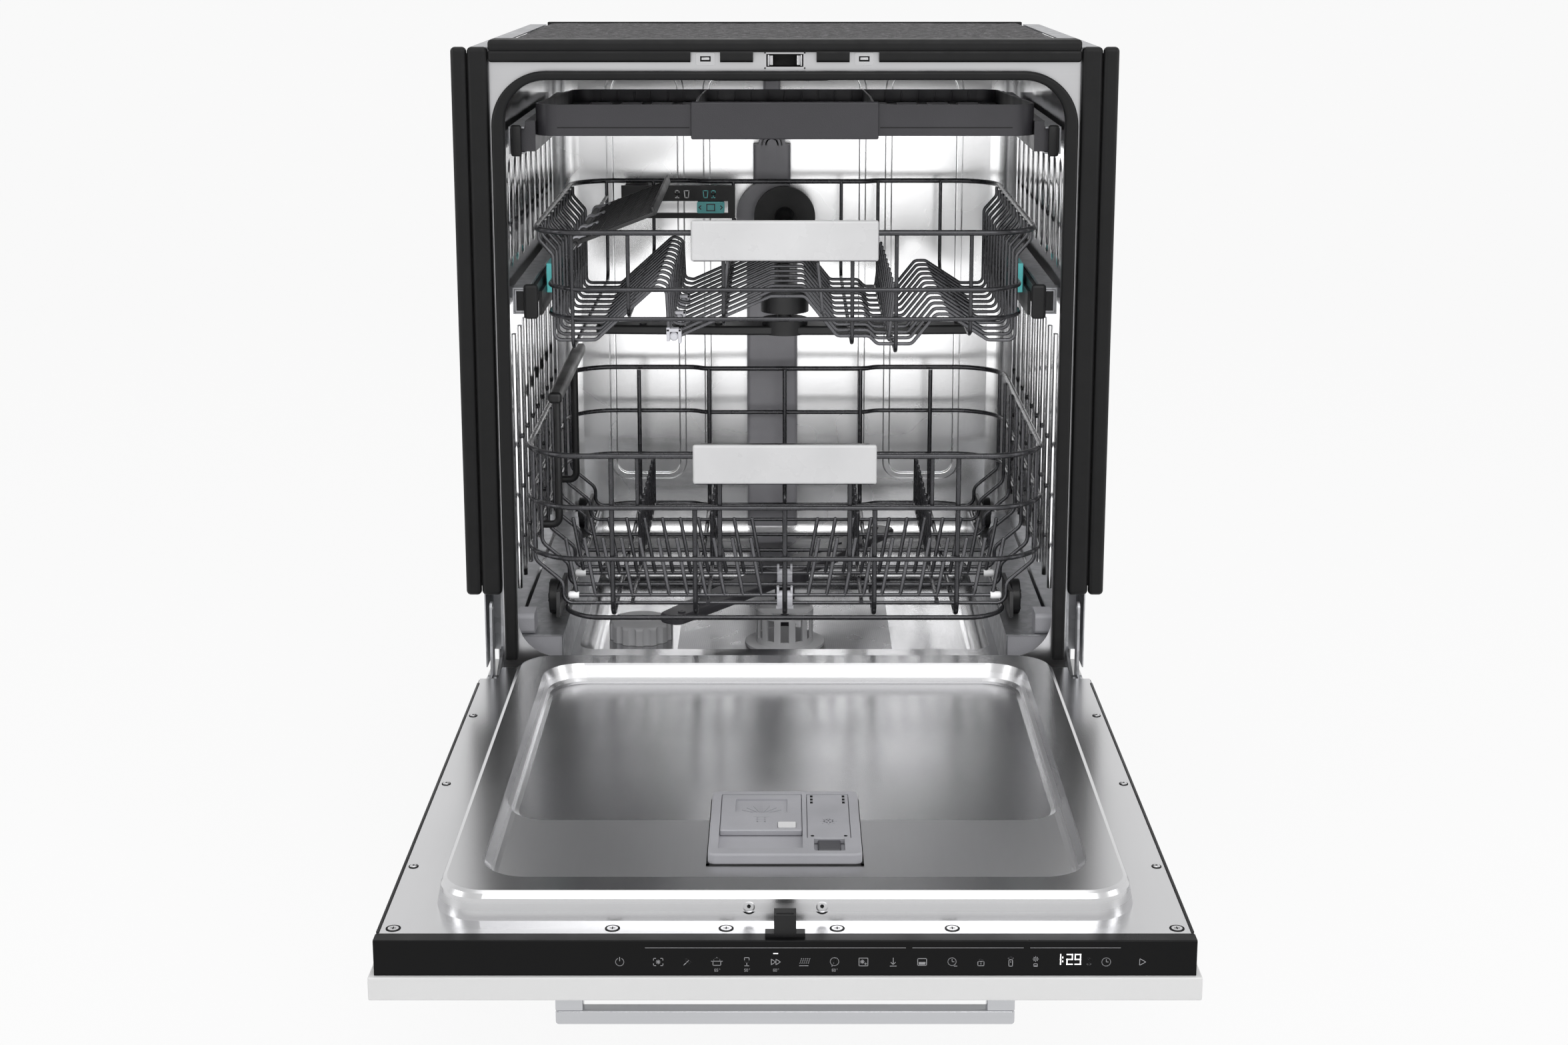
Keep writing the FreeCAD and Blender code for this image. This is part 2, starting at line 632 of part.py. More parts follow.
def make_flange_fittings():
    """Latch body behind the flange, two counter tabs, side plugs and rack stops."""
    low, high = strike_z()
    latch = box(-24.0, 24.0, SHEET, 34.0, TUB_CEILING + SHEET + FIT, FLANGE_TOP - 0.5)
    pocket = box(-latch_half(), latch_half(), 0, 26.0, low - 2.5, high + 1.5)
    save("latch_body", [latch.cut(pocket)])
    tab = rounded_box(tab_x() - 9.0, tab_x() + 9.0, -SHEET, 0, OPENING_TOP + GASKET_WIDTH + 1.5,
                      FLANGE_TOP - 0.5, 2.0, V(0, 1, 0))
    tab = tab.cut(box(tab_x() - 5.0, tab_x() + 5.0, -5, 5, FLANGE_TOP - 9.0, FLANGE_TOP - 4.0))
    save("counter_tabs", both(tab))
    stop = rounded_box(TUB_HALF - 19.0, TUB_HALF - 2.0, PAN_FACE + 3.0, PAN_FACE + 33.0,
                       ROLL_Z - FIT, ROLL_Z + 21.0, 5.0, V(1, 0, 0))
    save("rack_stops", both(stop))


def make_fixed_rails():
    """Lower tracks and the wall channels that carry the upper rack and the cutlery tray."""
    back = RACK_BACK + 15.0
    inner = TRACK_INNER
    top = ROLL_Z - FIT
    start = PAN_FACE + 3.0
    track = fuse([box(inner, TUB_HALF - 2.0, start, back, top - SHEET, top),
                  box(inner, inner + SHEET, start, back, TUB_FLOOR, top)])
    pieces = both(track)
    for z in (RAIL_Z, tray_rail_z()):
        places = (RACK_FRONT + 42.0, RACK_BACK - 64.0)
        lugs = [box(rail_outer(), TUB_HALF, y, y + 16.0, z - 5.0, z + 5.0) for y in places]
        pieces += both(fuse([rail_channel(0, z)] + lugs))
    save("rack_rails", pieces)


def rail_outer():
    """Outer face of the wall channels."""
    return TUB_HALF - BEAD - 2.5


def rail_width():
    return 15.0


def lift_plate_x():
    """Inner face of the lift plates on the inner slides."""
    return rail_outer() - rail_width() - LIFT_GAP - LIFT_PLATE


def rail_start():
    return RACK_FRONT - 10.0


def tray_rail_z():
    return TRAY_BOTTOM - 4.0


def rail_channel(nest, z):
    """Channel open towards the middle of the tub; each nested size fits inside the one before."""
    inset = nest * (RAIL_WALL + RAIL_SLOT)
    x1 = rail_outer() - inset
    x0 = rail_outer() - rail_width()
    half = RAIL_HEIGHT / 2 - inset
    y0, y1 = rail_start(), TUB_DEPTH - RAIL_BACK_GAP
    solid = box(x0, x1, y0, y1, z - half, z + half)
    return solid.cut(box(x0 - 1, x1 - RAIL_WALL, y0 - 1, y1 + 1, z - half + RAIL_WALL, z + half - RAIL_WALL))


def make_upper_rails():
    """Middle and inner slides of the upper rack, with end caps and a lift plate on the inner slide."""
    save("middle_rails", both(rail_channel(1, RAIL_Z)))
    inset = 2 * (RAIL_WALL + RAIL_SLOT)
    half = RAIL_HEIGHT / 2 - inset
    y0, y1 = rail_start(), TUB_DEPTH - RAIL_BACK_GAP
    x0 = lift_plate_x() + LIFT_PLATE
    bar = box(x0, rail_outer() - inset, y0, y1, RAIL_Z - half, RAIL_Z + half)
    cap = rounded_box(x0 - 6.0, x0 + 8.0, y0 - 7.0, y0, RAIL_Z - 17.0, RAIL_Z + 17.0, 3.2)
    plate = box(lift_plate_x(), x0, y0 + 60.0, y1 - 90.0, RAIL_Z - 24.0, RAIL_Z)
    save("inner_rails", both(fuse([bar, plate])) + both(cap))


def make_water_parts():
    """Sump, filter, salt cap, pumps, inlet valve and softener tank under the tub floor."""
    under = WELL_FLOOR - SHEET
    sump = fuse([cylinder(0, SUMP_Y, under - SUMP_DEPTH, SUMP_RADIUS, SUMP_DEPTH),
                 cylinder(0, HUB_Y, under - 10.0, HUB_POST, ARM_Z + 6.0 - under + 10.0)])
    save("sump", [sump.cut(cylinder(0, FILTER_Y, under - 60.0, FILTER_RADIUS + 3.0, 200.0))])
    plate = rounded_box(-FILTER_PLATE, FILTER_PLATE, WELL_START + 24.0, WELL_END - 40.0, WELL_FLOOR,
                        WELL_FLOOR + 2.0, 16.0, V(0, 0, 1))
    plate = plate.cut(Part.makeCompound([cylinder(0, FILTER_Y, 0, FILTER_RADIUS + 4.0, STRAP_TOP),
                                         cylinder(0, HUB_Y, 0, HUB_POST + 1.5, STRAP_TOP)]))
    save("filter_plate", [plate])
    make_filter_cup()
    make_salt_cap(under)
    make_pumps(under)
    make_spray_duct()


def make_filter_cup():
    """Twist-in filter: lower screen, seating flange, slotted cup and a bar to grip."""
    seat = WELL_FLOOR + 2.0 + FIT
    cup_radius = FILTER_RADIUS - 5.0
    top = seat + 40.0
    cup = fuse([cylinder(0, FILTER_Y, seat - 50.0, FILTER_RADIUS, 50.0),
                cylinder(0, FILTER_Y, seat, FILTER_RADIUS + 7.0, 3.0),
                cylinder(0, FILTER_Y, seat + 2.0, cup_radius, top - seat - 2.0)])
    cup = cup.cut(cylinder(0, FILTER_Y, seat - 46.0, cup_radius - 3.0, 200.0))
    slots = []
    for k in range(12):
        slot = box(cup_radius - 8.0, cup_radius + 8.0, -4.5, 4.5, seat + 9.0, top - 7.0)
        slot.rotate(V(0, 0, 0), V(0, 0, 1), k * 30.0)
        slot.translate(V(0, FILTER_Y, 0))
        slots.append(slot)
    cup = cup.cut(Part.makeCompound(slots))
    grip = box(1.5 - cup_radius, cup_radius - 1.5, FILTER_Y - 4.0, FILTER_Y + 4.0, top - 6.0, top)
    save("filter_cup", [fuse([cup, grip])])


def make_salt_cap(under):
    """Scalloped softener cap over the neck of the softener tank."""
    base = WELL_FLOOR + FIT
    cap = cylinder(CAP_X, CAP_Y, base, CAP_RADIUS, 20.0)
    rim = [e for e in cap.Edges if e.Vertexes[0].Z > base + 10.0 and len(e.Vertexes) == 1]
    cap = cap.makeFillet(4.0, rim)
    flutes = []
    for k in range(14):
        angle = 2 * math.pi * k / 14
        reach = CAP_RADIUS + 3.0
        x, y = CAP_X + reach * math.cos(angle), CAP_Y + reach * math.sin(angle)
        flutes.append(cylinder(x, y, base, 5.5, 30.0))
    cap = cap.cut(Part.makeCompound(flutes))
    stem = cylinder(CAP_X, CAP_Y, base - 20.0, neck_radius(), 24.0)
    grip = rounded_box(CAP_X - CAP_RADIUS + 8.0, CAP_X + CAP_RADIUS - 8.0, CAP_Y - 5.0, CAP_Y + 5.0,
                       base + 15.0, base + 25.0, 2.0)
    save("salt_cap", [fuse([cap, stem, grip])])
    tank = rounded_box(CAP_X - 55.0, CAP_X + 55.0, CAP_Y - 60.0, CAP_Y + 90.0, BASE_BOTTOM + BASE_WALL,
                       under, 8.0, V(0, 0, 1))
    save("softener_tank", [tank.cut(cylinder(CAP_X, CAP_Y, under - 60.0, neck_radius() + FIT, 200.0))])


def make_pumps(under):
    """Circulation pump and drain pump on the base, each piped to the sump, and the inlet valve."""
    deck = BASE_BOTTOM + BASE_WALL
    casing = PUMP_RADIUS + 6.0
    z = deck + casing
    y = SUMP_Y + PUMP_OFFSET
    motor = fuse([cylinder(PUMP_X, y, z, PUMP_RADIUS, PUMP_LENGTH, V(1, 0, 0)),
                  cylinder(PUMP_X - 13.0, y, z, casing, 26.0, V(1, 0, 0)),
                  box(PUMP_X + 15.0, PUMP_X + PUMP_LENGTH - 15.0, y - 30.0, y + 30.0, deck, z)])
    inlet_x = SUMP_RADIUS - 25.0
    inlet = rod([(inlet_x, SUMP_Y, under - SUMP_DEPTH), (inlet_x, SUMP_Y, z + 5.0), (inlet_x, y, z),
                 (PUMP_X - 5.0, y, z)], 16.0, 18.0)
    drain_y = WELL_END - 40.0
    drain_x = -valve_x() + 60.0
    drain = fuse([cylinder(drain_x, drain_y, deck, DRAIN_RADIUS, 64.0),
                  rod([(drain_x, drain_y, valve_z()), (-valve_x(), drain_y, valve_z()),
                       (-valve_x(), spigot_start(), valve_z())], SPIGOT_RADIUS, 20.0),
                  spigot_end(-valve_x())])
    hose = rod([(-40.0, SUMP_Y + 40.0, under - SUMP_DEPTH), (-40.0, SUMP_Y + 40.0, valve_z()),
                (drain_x + 15.0, drain_y - 24.0, valve_z())], 9.0, 24.0)
    save("pumps", [fuse([motor, inlet]), fuse([drain, hose])])
    x = valve_x()
    valve = fuse([box(x - 22.0, x + 22.0, TUB_DEPTH - 70.0, TUB_DEPTH - 15.0, deck, valve_z() + 20.0),
                  cylinder(x, TUB_DEPTH - 20.0, valve_z(), SPIGOT_RADIUS, spigot_start() - TUB_DEPTH + 20.0,
                           V(0, 1, 0)),
                  spigot_end(x)])
    save("inlet_valve", [valve])


def spigot_start():
    return BASE_BACK + SPIGOT_SHOULDER


def spigot_end(x):
    """Free end of a water connection behind the base."""
    return cylinder(x, spigot_start(), valve_z(), SPIGOT_TIP, SPIGOT_LENGTH, V(0, 1, 0))


def dock_z():
    return UPPER_RIM - 43.0


def make_spray_duct():
    """Duct up the back wall with a docking port, and on along the ceiling to the sprayer."""
    back = TUB_DEPTH - BEAD - 0.4
    front = back - DUCT_DEPTH
    half = DUCT_WIDTH / 2
    upper = half - 8.0
    neck = 10.0
    ceiling = TUB_CEILING - 0.8
    y_axis = V(0, 1, 0)
    z_axis = V(0, 0, 1)
    duct = fuse([
        rounded_box(DUCT_X - half, DUCT_X + half, front, back, TUB_FLOOR + TUB_CORNER, dock_z(), 5.0, z_axis),
        cylinder(DUCT_X, front, dock_z(), DOCK_RADIUS, DUCT_DEPTH, y_axis),
        rounded_box(DUCT_X - upper, DUCT_X + upper, front, back, dock_z(), dock_z() + 84.0, 5.0, z_axis),
        cylinder(DUCT_X, front, dock_z() + 84.0, upper - 6.0, DUCT_DEPTH, y_axis),
        rounded_box(DUCT_X - neck, DUCT_X + neck, front + 4.0, back, dock_z() + 84.0, ceiling, 4.0, z_axis),
        rounded_box(DUCT_X - neck, DUCT_X + neck, HUB_Y, back, ceiling - 12.0, ceiling, 4.0, y_axis),
        cylinder(DUCT_X, HUB_Y, ceiling - 16.0, 28.0, 16.0),
        cylinder(DUCT_X, HUB_Y, ceiling - 22.5, 4.0, 12.0),
    ])
    save("spray_duct", [duct.common(tub_solid(-0.6, -0.6))])
    low = ceiling - 25.0
    disc = fuse([cylinder(DUCT_X, HUB_Y, low, 14.0, 8.5),
                 rounded_box(DUCT_X - 62.0, DUCT_X + 62.0, HUB_Y - 11.0, HUB_Y + 11.0, low, low + 6.0, 2.4)])
    save("top_sprayer", [disc.cut(cylinder(DUCT_X, HUB_Y, low + 2.0, 4.0 + PIN_CLEARANCE + FIT, 20.0))])


def spray_arm(reach, angle, z, width, bore, up):
    """Hollow-looking arm: two tapered blades and a hub, with raised nozzles on one face."""
    blade = prism_xy([(-reach, -width * 0.32), (-reach * 0.3, -width / 2), (reach * 0.3, -width / 2),
                      (reach, -width * 0.32), (reach, width * 0.32), (reach * 0.3, width / 2),
                      (-reach * 0.3, width / 2), (-reach, width * 0.32)], z, z + ARM_THICKNESS)
    uprights = [e for e in blade.Edges if abs(e.tangentAt(e.FirstParameter).z) > 0.9]
    blade = blade.makeFillet(width * 0.25, uprights)
    rims = [e for e in blade.Edges if abs(e.BoundBox.ZMax - e.BoundBox.ZMin) < 0.01]
    blade = blade.makeFillet(ARM_THICKNESS * 0.3, rims)
    nozzle_z = z + ARM_THICKNESS - 1.0
    nozzles = [cylinder(side * reach * at, side * width * 0.12, nozzle_z, 4.0, 2.5)
               for side in (-1, 1) for at in (0.35, 0.55, 0.75, 0.92)]
    hub_low = z - 3.0 if up else z
    arm = fuse([blade, cylinder(0, 0, hub_low, width * 0.62, ARM_THICKNESS + 6.0)] + nozzles)
    bore_low = hub_low - 1.0 if up else z + 4.0
    arm = arm.cut(cylinder(0, 0, bore_low, bore, ARM_THICKNESS + 1.0 if up else 40.0))
    arm.rotate(V(0, 0, 0), V(0, 0, 1), angle)
    arm.translate(V(0, HUB_Y, 0))
    return arm


def make_spray_arms():
    save("lower_spray_arm", [spray_arm(ARM_REACH, ARM_ANGLE, ARM_Z, 44.0, HUB_POST + FIT, True)])
    z = upper_arm_z()
    save("upper_spray_arm", [spray_arm(UPPER_ARM_REACH, 0, z, 40.0, 8.0 + FIT, False)])
    low = UPPER_FLOOR + 12.0
    y_back = RACK_BACK - 24.0
    pipe = rod([(0, HUB_Y, low), (0, y_back, low), (0, y_back, dock_z()), (0, RACK_BACK + 4.0, dock_z())],
               FEED_RADIUS, 14.0)
    port = cylinder(0, RACK_BACK + 4.0, dock_z(), DOCK_RADIUS - 6.0, 9.0, V(0, 1, 0))
    bell = cylinder(0, HUB_Y, low - 18.0, 26.0, 24.0)
    spigot = cylinder(0, HUB_Y, z + 6.0, 8.0, low - z - 6.0)
    under_wire = wave_height(0) - FLOOR_WIRE - FIT
    behind = [y for y in floor_places() if HUB_Y < y < y_back]
    hangers = [box(-5.0, 5.0, y - 4.0, y + 4.0, low, under_wire) for y in (behind[0], behind[-2])]
    save("feed_tube", [fuse([pipe, port, bell, spigot] + hangers)])


def upper_arm_z():
    return UPPER_FLOOR - 30.0


def make_hinges():
    """Fixed hinge brackets with their pins, hinge arms of the door, and the door springs."""
    x0 = FLANGE_HALF + SHEET
    plate = prism_yz([(PIVOT_Y - 8.0, PIVOT_Z + 8.0), (PIVOT_Y - 8.0, PIVOT_Z - 6.0),
                      (PIVOT_Y, PIVOT_Z - 9.0), (60.0, PIVOT_Z + 6.0), (60.0, PIVOT_Z + BRACKET_RISE),
                      (20.0, PIVOT_Z + BRACKET_RISE), (8.0, PIVOT_Z + 24.0)], x0, x0 + 3.0)
    arm_x = x0 + 6.0
    pin = cylinder(x0, PIVOT_Y, PIVOT_Z, PIN_RADIUS, 6.0 + ARM_PLATE + 4.0, V(1, 0, 0))
    save("hinge_brackets", both(fuse([plate, pin])))
    lever_end = PIVOT_Y + LEVER_LENGTH
    leg = [(PIVOT_Y - 8.0, PIVOT_Z - 8.0), (lever_end, PIVOT_Z - 6.0), (lever_end, PIVOT_Z + 6.0),
           (PIVOT_Y + 10.0, PIVOT_Z + 10.0), (PIVOT_Y + 8.0, PIVOT_Z + HINGE_LEG),
           (PIVOT_Y - 8.0, PIVOT_Z + HINGE_LEG)]
    arm = prism_yz(leg, arm_x, arm_x + ARM_PLATE)
    arm = fuse([arm, cylinder(arm_x, lever_end, PIVOT_Z, 6.0, ARM_PLATE, V(1, 0, 0)),
                box(arm_x + ARM_PLATE, DOOR_HALF - SHEET, PIVOT_Y - 6.0, PIVOT_Y + 6.0,
                    PIVOT_Z + HINGE_LUG[0], PIVOT_Z + HINGE_LUG[1])])
    arm = arm.cut(cylinder(0, PIVOT_Y, PIVOT_Z, PIN_RADIUS + PIN_CLEARANCE, BODY_WIDTH, V(1, 0, 0)))
    arm = arm.cut(cylinder(0, lever_end, PIVOT_Z, 2.5, BODY_WIDTH, V(1, 0, 0)))
    save_door("hinge_arms", both(arm))
    spring_x = (BASE_HALF + BODY_HALF - SHEET) / 2
    rest = BASE_BOTTOM + 30.0 + SHEET
    y = WELL_START + 60.0
    z = rest + SPRING_RADIUS
    coil = cylinder(spring_x, y, z, SPRING_RADIUS, SPRING_LENGTH, V(0, 1, 0))
    tails = rod([(spring_x, y - 26.0, z), (spring_x, y + SPRING_LENGTH + 26.0, z)], 2.0)
    save("door_springs", both(fuse([coil, tails])))


def hinge_notches():
    x0 = FLANGE_HALF - 0.8
    notch = box(x0, BODY_WIDTH, DOOR_OUTER - 1, DOOR_INNER + 1, 0, PIVOT_Z + HINGE_NOTCH)
    return Part.makeCompound(both(notch))


def pan_edges():
    return OPENING_HALF - PAN_CLEARANCE, OPENING_BOTTOM + PAN_CLEARANCE - 1.0, OPENING_TOP - PAN_CLEARANCE


def ledge_z():
    """Height of the step across the recess of the liner, at the foot of the dispenser."""
    return OPENING_TOP - PAN_CLEARANCE - DISPENSER_DROP - DISPENSER_LENGTH + 44.0


def liner_recess(grow):
    """Space pressed into the raised pan: a deep lower field and a shallower upper field."""
    half, low, high = pan_edges()
    inset = PAN_DRAFT + RIM_WIDTH - grow
    face = PAN_FACE + 1.0
    fields = []
    for bottom, top, depth in ((low, high, LEDGE_DEPTH), (low, ledge_z(), RECESS_DEPTH)):
        y = PAN_FACE - depth - grow
        upper = top - inset if top == high else top + grow
        steps = [(face, -1.0), (PAN_FACE - 2.0, 0.0), (y + 4.0, 4.0), (y + 1.0, 6.5), (y, 10.0)]
        fields.append(pressed_block(half - inset, bottom + inset, upper, PAN_CORNER, steps))
    return fields[0].fuse(fields[1])


def liner_pan(grow):
    """Raised pan of the liner, drawn in towards its face with a rounded edge."""
    half, low, high = pan_edges()
    base, face = DOOR_INNER - SHEET, PAN_FACE - grow
    return pressed_block(half - grow, low + grow, high - grow, PAN_CORNER,
                         [(base, 0.0), (face - 5.0, PAN_DRAFT - 3.0), (face - 1.6, PAN_DRAFT - 1.2),
                          (face, PAN_DRAFT + 1.5)])


def make_door_liner():
    flange = box(1.0 - DOOR_HALF, DOOR_HALF - 1.0, DOOR_INNER - SHEET, DOOR_INNER, DOOR_BOTTOM, SHELL_TOP)
    form = flange.fuse(liner_pan(0)).cut(liner_recess(0))
    hollow = liner_pan(SHEET).cut(liner_recess(SHEET))
    liner = form.cut(hollow).cut(hinge_notches())
    half, low, high = dispenser_edges()
    liner = liner.cut(box(3.0 - half, half - 3.0, DOOR_OUTER, PAN_FACE, low + 3.0, high - 3.0))
    save_door("door_liner", [liner])


def dispenser_edges():
    half = DISPENSER_WIDTH / 2
    high = OPENING_TOP - PAN_CLEARANCE - DISPENSER_DROP
    return half, high - DISPENSER_LENGTH, high


def make_door_shell():
    """Door casing, control panel with its board, front panel, bar handle and fasteners."""
    shell = box(-DOOR_HALF, DOOR_HALF, DOOR_OUTER, DOOR_INNER - SHEET, DOOR_BOTTOM, SHELL_TOP)
    shell = shell.cut(box(SHEET - DOOR_HALF, DOOR_HALF - SHEET, DOOR_OUTER + SHEET, DOOR_INNER,
                          DOOR_BOTTOM + SHEET, SHELL_TOP + 1))
    save_door("door_shell", [shell.cut(hinge_notches())])
    wall = CONTROL_WALL
    cap = rounded_box(-DOOR_HALF, DOOR_HALF, DOOR_OUTER, DOOR_INNER, SHELL_TOP, DOOR_TOP, 1.0, V(1, 0, 0))
    cap = cap.cut(box(wall - DOOR_HALF, DOOR_HALF - wall, DOOR_OUTER + wall, DOOR_INNER - wall,
                      SHELL_TOP - 1, DOOR_TOP - wall))
    save_door("control_panel", [cap])
    board = box(-150.0, 150.0, DOOR_OUTER + wall + 3.0, DOOR_INNER - wall - 3.0, DOOR_TOP - wall - 2.0,
                DOOR_TOP - wall)
    save_door("control_board", [board])
    front = DOOR_OUTER - PANEL_THICKNESS
    panel = rounded_box(-PANEL_HALF, PANEL_HALF, front, DOOR_OUTER, PANEL_BOTTOM, PANEL_TOP, 1.2)
    save_door("custom_panel", [panel])
    make_handle(front)
    strike_low, strike_high = strike_z()
    outline = [(DOOR_INNER, strike_low), (PAN_FACE - 2.0, strike_low), (PAN_FACE - 1.0, strike_low + 2.0),
               (PAN_FACE - 4.0, strike_high), (DOOR_INNER, strike_high)]
    tongue = prism_yz(outline, -8.0, 8.0)
    strike = fuse([tongue, box(-14.5, 14.5, DOOR_INNER, DOOR_INNER + 3.0, strike_low, strike_high)])
    save_door("door_strike", [strike])
    make_door_screws()


def make_handle(front):
    half = HANDLE_LENGTH / 2
    z = PANEL_TOP - HANDLE_INSET
    tip = front - HANDLE_REACH
    bar = rounded_box(-half, half, tip, tip + HANDLE_BAR, z - HANDLE_BAR / 2, z + HANDLE_BAR / 2, 2.5)
    post = rounded_box(half - HANDLE_POST, half, tip + HANDLE_BAR, front, z - HANDLE_BAR / 2,
                       z + HANDLE_BAR / 2, 2.0, V(0, 1, 0))
    save_door("door_handle", [bar] + both(post))


def make_door_screws():
    """Low screw heads along the top flange of the liner."""
    z = (SHELL_TOP + OPENING_TOP - PAN_CLEARANCE) / 2 + 2.0
    heads = []
    outer = DOOR_HALF - SCREW_INSET
    for x in (-outer, -126.0, -43.0, 38.0, 122.0, outer):
        heads.append(cylinder(x, DOOR_INNER, z, 4.0, GASKET_GAP / 2, V(0, 1, 0)))
    save_door("door_screws", heads)


def dispenser_seat():
    """Depth of the liner face that the dispenser stands on."""
    return PAN_FACE - LEDGE_DEPTH


def lid_bottom():
    """Depth of the underside of both dispenser lids."""
    return dispenser_seat() + LID_SEAT + FIT


def detergent_edges():
    """Left, right, lower and upper edge of the sliding lid."""
    half, low, high = dispenser_edges()
    x0 = DISPENSER_EDGE - half
    z0 = low + DISPENSER_EDGE
    return x0, x0 + DETERGENT_WIDTH, z0, z0 + DETERGENT_LENGTH


def rinse_edges():
    """Left, right, lower and upper edge of the rinse-aid lid without its tab."""
    half, low, high = dispenser_edges()
    x1 = half - DISPENSER_EDGE
    z0 = low + DISPENSER_EDGE
    return x1 - RINSE_WIDTH, x1, z0, z0 + RINSE_LENGTH


def rinse_pivot():
    """Depth and height of the pins of the rinse-aid lid, just inside its lower edge."""
    return lid_bottom() + LID_THICKNESS - RINSE_PIN_INSET, rinse_edges()[2] + RINSE_PIN_INSET


def make_dispenser():
    """Detergent dispenser set into the liner, with its sliding lid, button and rinse-aid lid."""
    half, low, high = dispenser_edges()
    seat = dispenser_seat()
    top = seat + DISPENSER_FACE
    y_axis = V(0, 1, 0)
    face = rounded_box(-half, half, seat, top, low, high, 6.0, y_axis)
    rim = [e for e in face.Edges if abs(e.BoundBox.YMin - top) < 0.01 and abs(e.BoundBox.YMax - top) < 0.01]
    face = face.makeFillet(2.0, rim)
    back = rounded_box(5.0 - half, half - 5.0, seat - DISPENSER_BACK, seat + 1.0, low + 5.0, high - 5.0, 6.0,
                       y_axis)
    x0, x1, z0, z1 = detergent_edges()
    floor = seat + LID_SEAT
    trough = box(x0 - FIT, x1 + FIT, floor, top + 1.0, z0 - FIT, z1 + LID_TRAVEL + FIT)
    cup = rounded_box(x0 + 4.0, x1 - 4.0, seat - DISPENSER_BACK + 3.0, top, z0 + 6.0, z1 - 6.0, 7.0, y_axis)
    rx0, rx1, rz0, rz1 = rinse_edges()
    middle = (rx0 + rx1) / 2
    pocket = box(rx0 - FIT, rx1 + FIT, floor, top + 1.0, rz0 - FIT, rz1 + FIT)
    notch = rounded_box(middle - RINSE_TAB / 2 - 3.0, middle + RINSE_TAB / 2 + 3.0, floor, top + 9.0,
                        rz1 - 8.0, rz1 + RINSE_TAB + 7.0, 2.0, y_axis)
    well = rounded_box(rx0 + 5.0, rx1 - 5.0, seat - 14.0, top, rz0 + 22.0, rz1 - 22.0, 5.0, y_axis)
    pin_y, pin_z = rinse_pivot()
    pin_x = rx0 - RINSE_PIN_INSET
    pin_length = RINSE_WIDTH + 2 * RINSE_PIN_INSET
    bore = cylinder(pin_x - FIT, pin_y, pin_z, RINSE_PIN + PIN_CLEARANCE, pin_length + 2 * FIT, V(1, 0, 0))
    hollows = Part.makeCompound([trough, cup, pocket, notch, well, bore])
    save_door("dispenser_body", [fuse([face, back]).cut(hollows)])
    under = lid_bottom()
    lid = rounded_box(x0, x1, under, under + LID_THICKNESS, z0, z1, 1.2)
    grip = rounded_box((x0 + x1) / 2 - 21.0, (x0 + x1) / 2 + 21.0, under + 3.2, under + 9.0, z0 + 9.0,
                       z0 + 38.0, 2.0, y_axis)
    button_x = x1 - 5.0 - BUTTON_WIDTH
    button_z = z1 - 4.5 - BUTTON_LENGTH
    slot = box(button_x - FIT, button_x + BUTTON_WIDTH + FIT, under - 1, under + 20.0,
               button_z - FIT, button_z + BUTTON_LENGTH + FIT)
    save_door("detergent_lid", [lid.cut(grip).cut(slot)])
    button = rounded_box(button_x, button_x + BUTTON_WIDTH, under + 2.0, under + LID_THICKNESS + 0.6,
                         button_z, button_z + BUTTON_LENGTH, 1.2, y_axis)
    save_door("release_button", [button])
    rinse = rounded_box(rx0, rx1, under, under + LID_THICKNESS, rz0, rz1, 1.0)
    tab = rounded_box(middle - RINSE_TAB / 2, middle + RINSE_TAB / 2, under, under + LID_THICKNESS - 1.6,
                      rz1 - 6.0, rz1 + RINSE_TAB, 1.4)
    pin = cylinder(pin_x, pin_y, pin_z, RINSE_PIN, pin_length, V(1, 0, 0))
    save_door("rinse_lid", [fuse([rinse, tab, pin])])


def rack_ring(half, y0, y1, z, radius, front_corner, jog, fine=False):
    """Closed wire round a rack, in coarse or fine lengths; the back run steps forward to clear the duct."""
    back = y1 - jog
    side = 95.0
    cut = front_corner * 0.6
    points = [(-half, y1, z), (-half, y0 + cut, z), (cut - half, y0, z), (half - cut, y0, z),
              (half, y0 + cut, z), (half, y1, z), (side + 12.0, y1, z), (side, back, z), (-side, back, z),
              (-side - 12.0, y1, z)]
    if fine:
        return lengths(points, radius, front_corner, range(1, 3 * len(points)), True, 2)
    return lengths(points, radius, front_corner, range(2, 2 * len(points), 2), True)


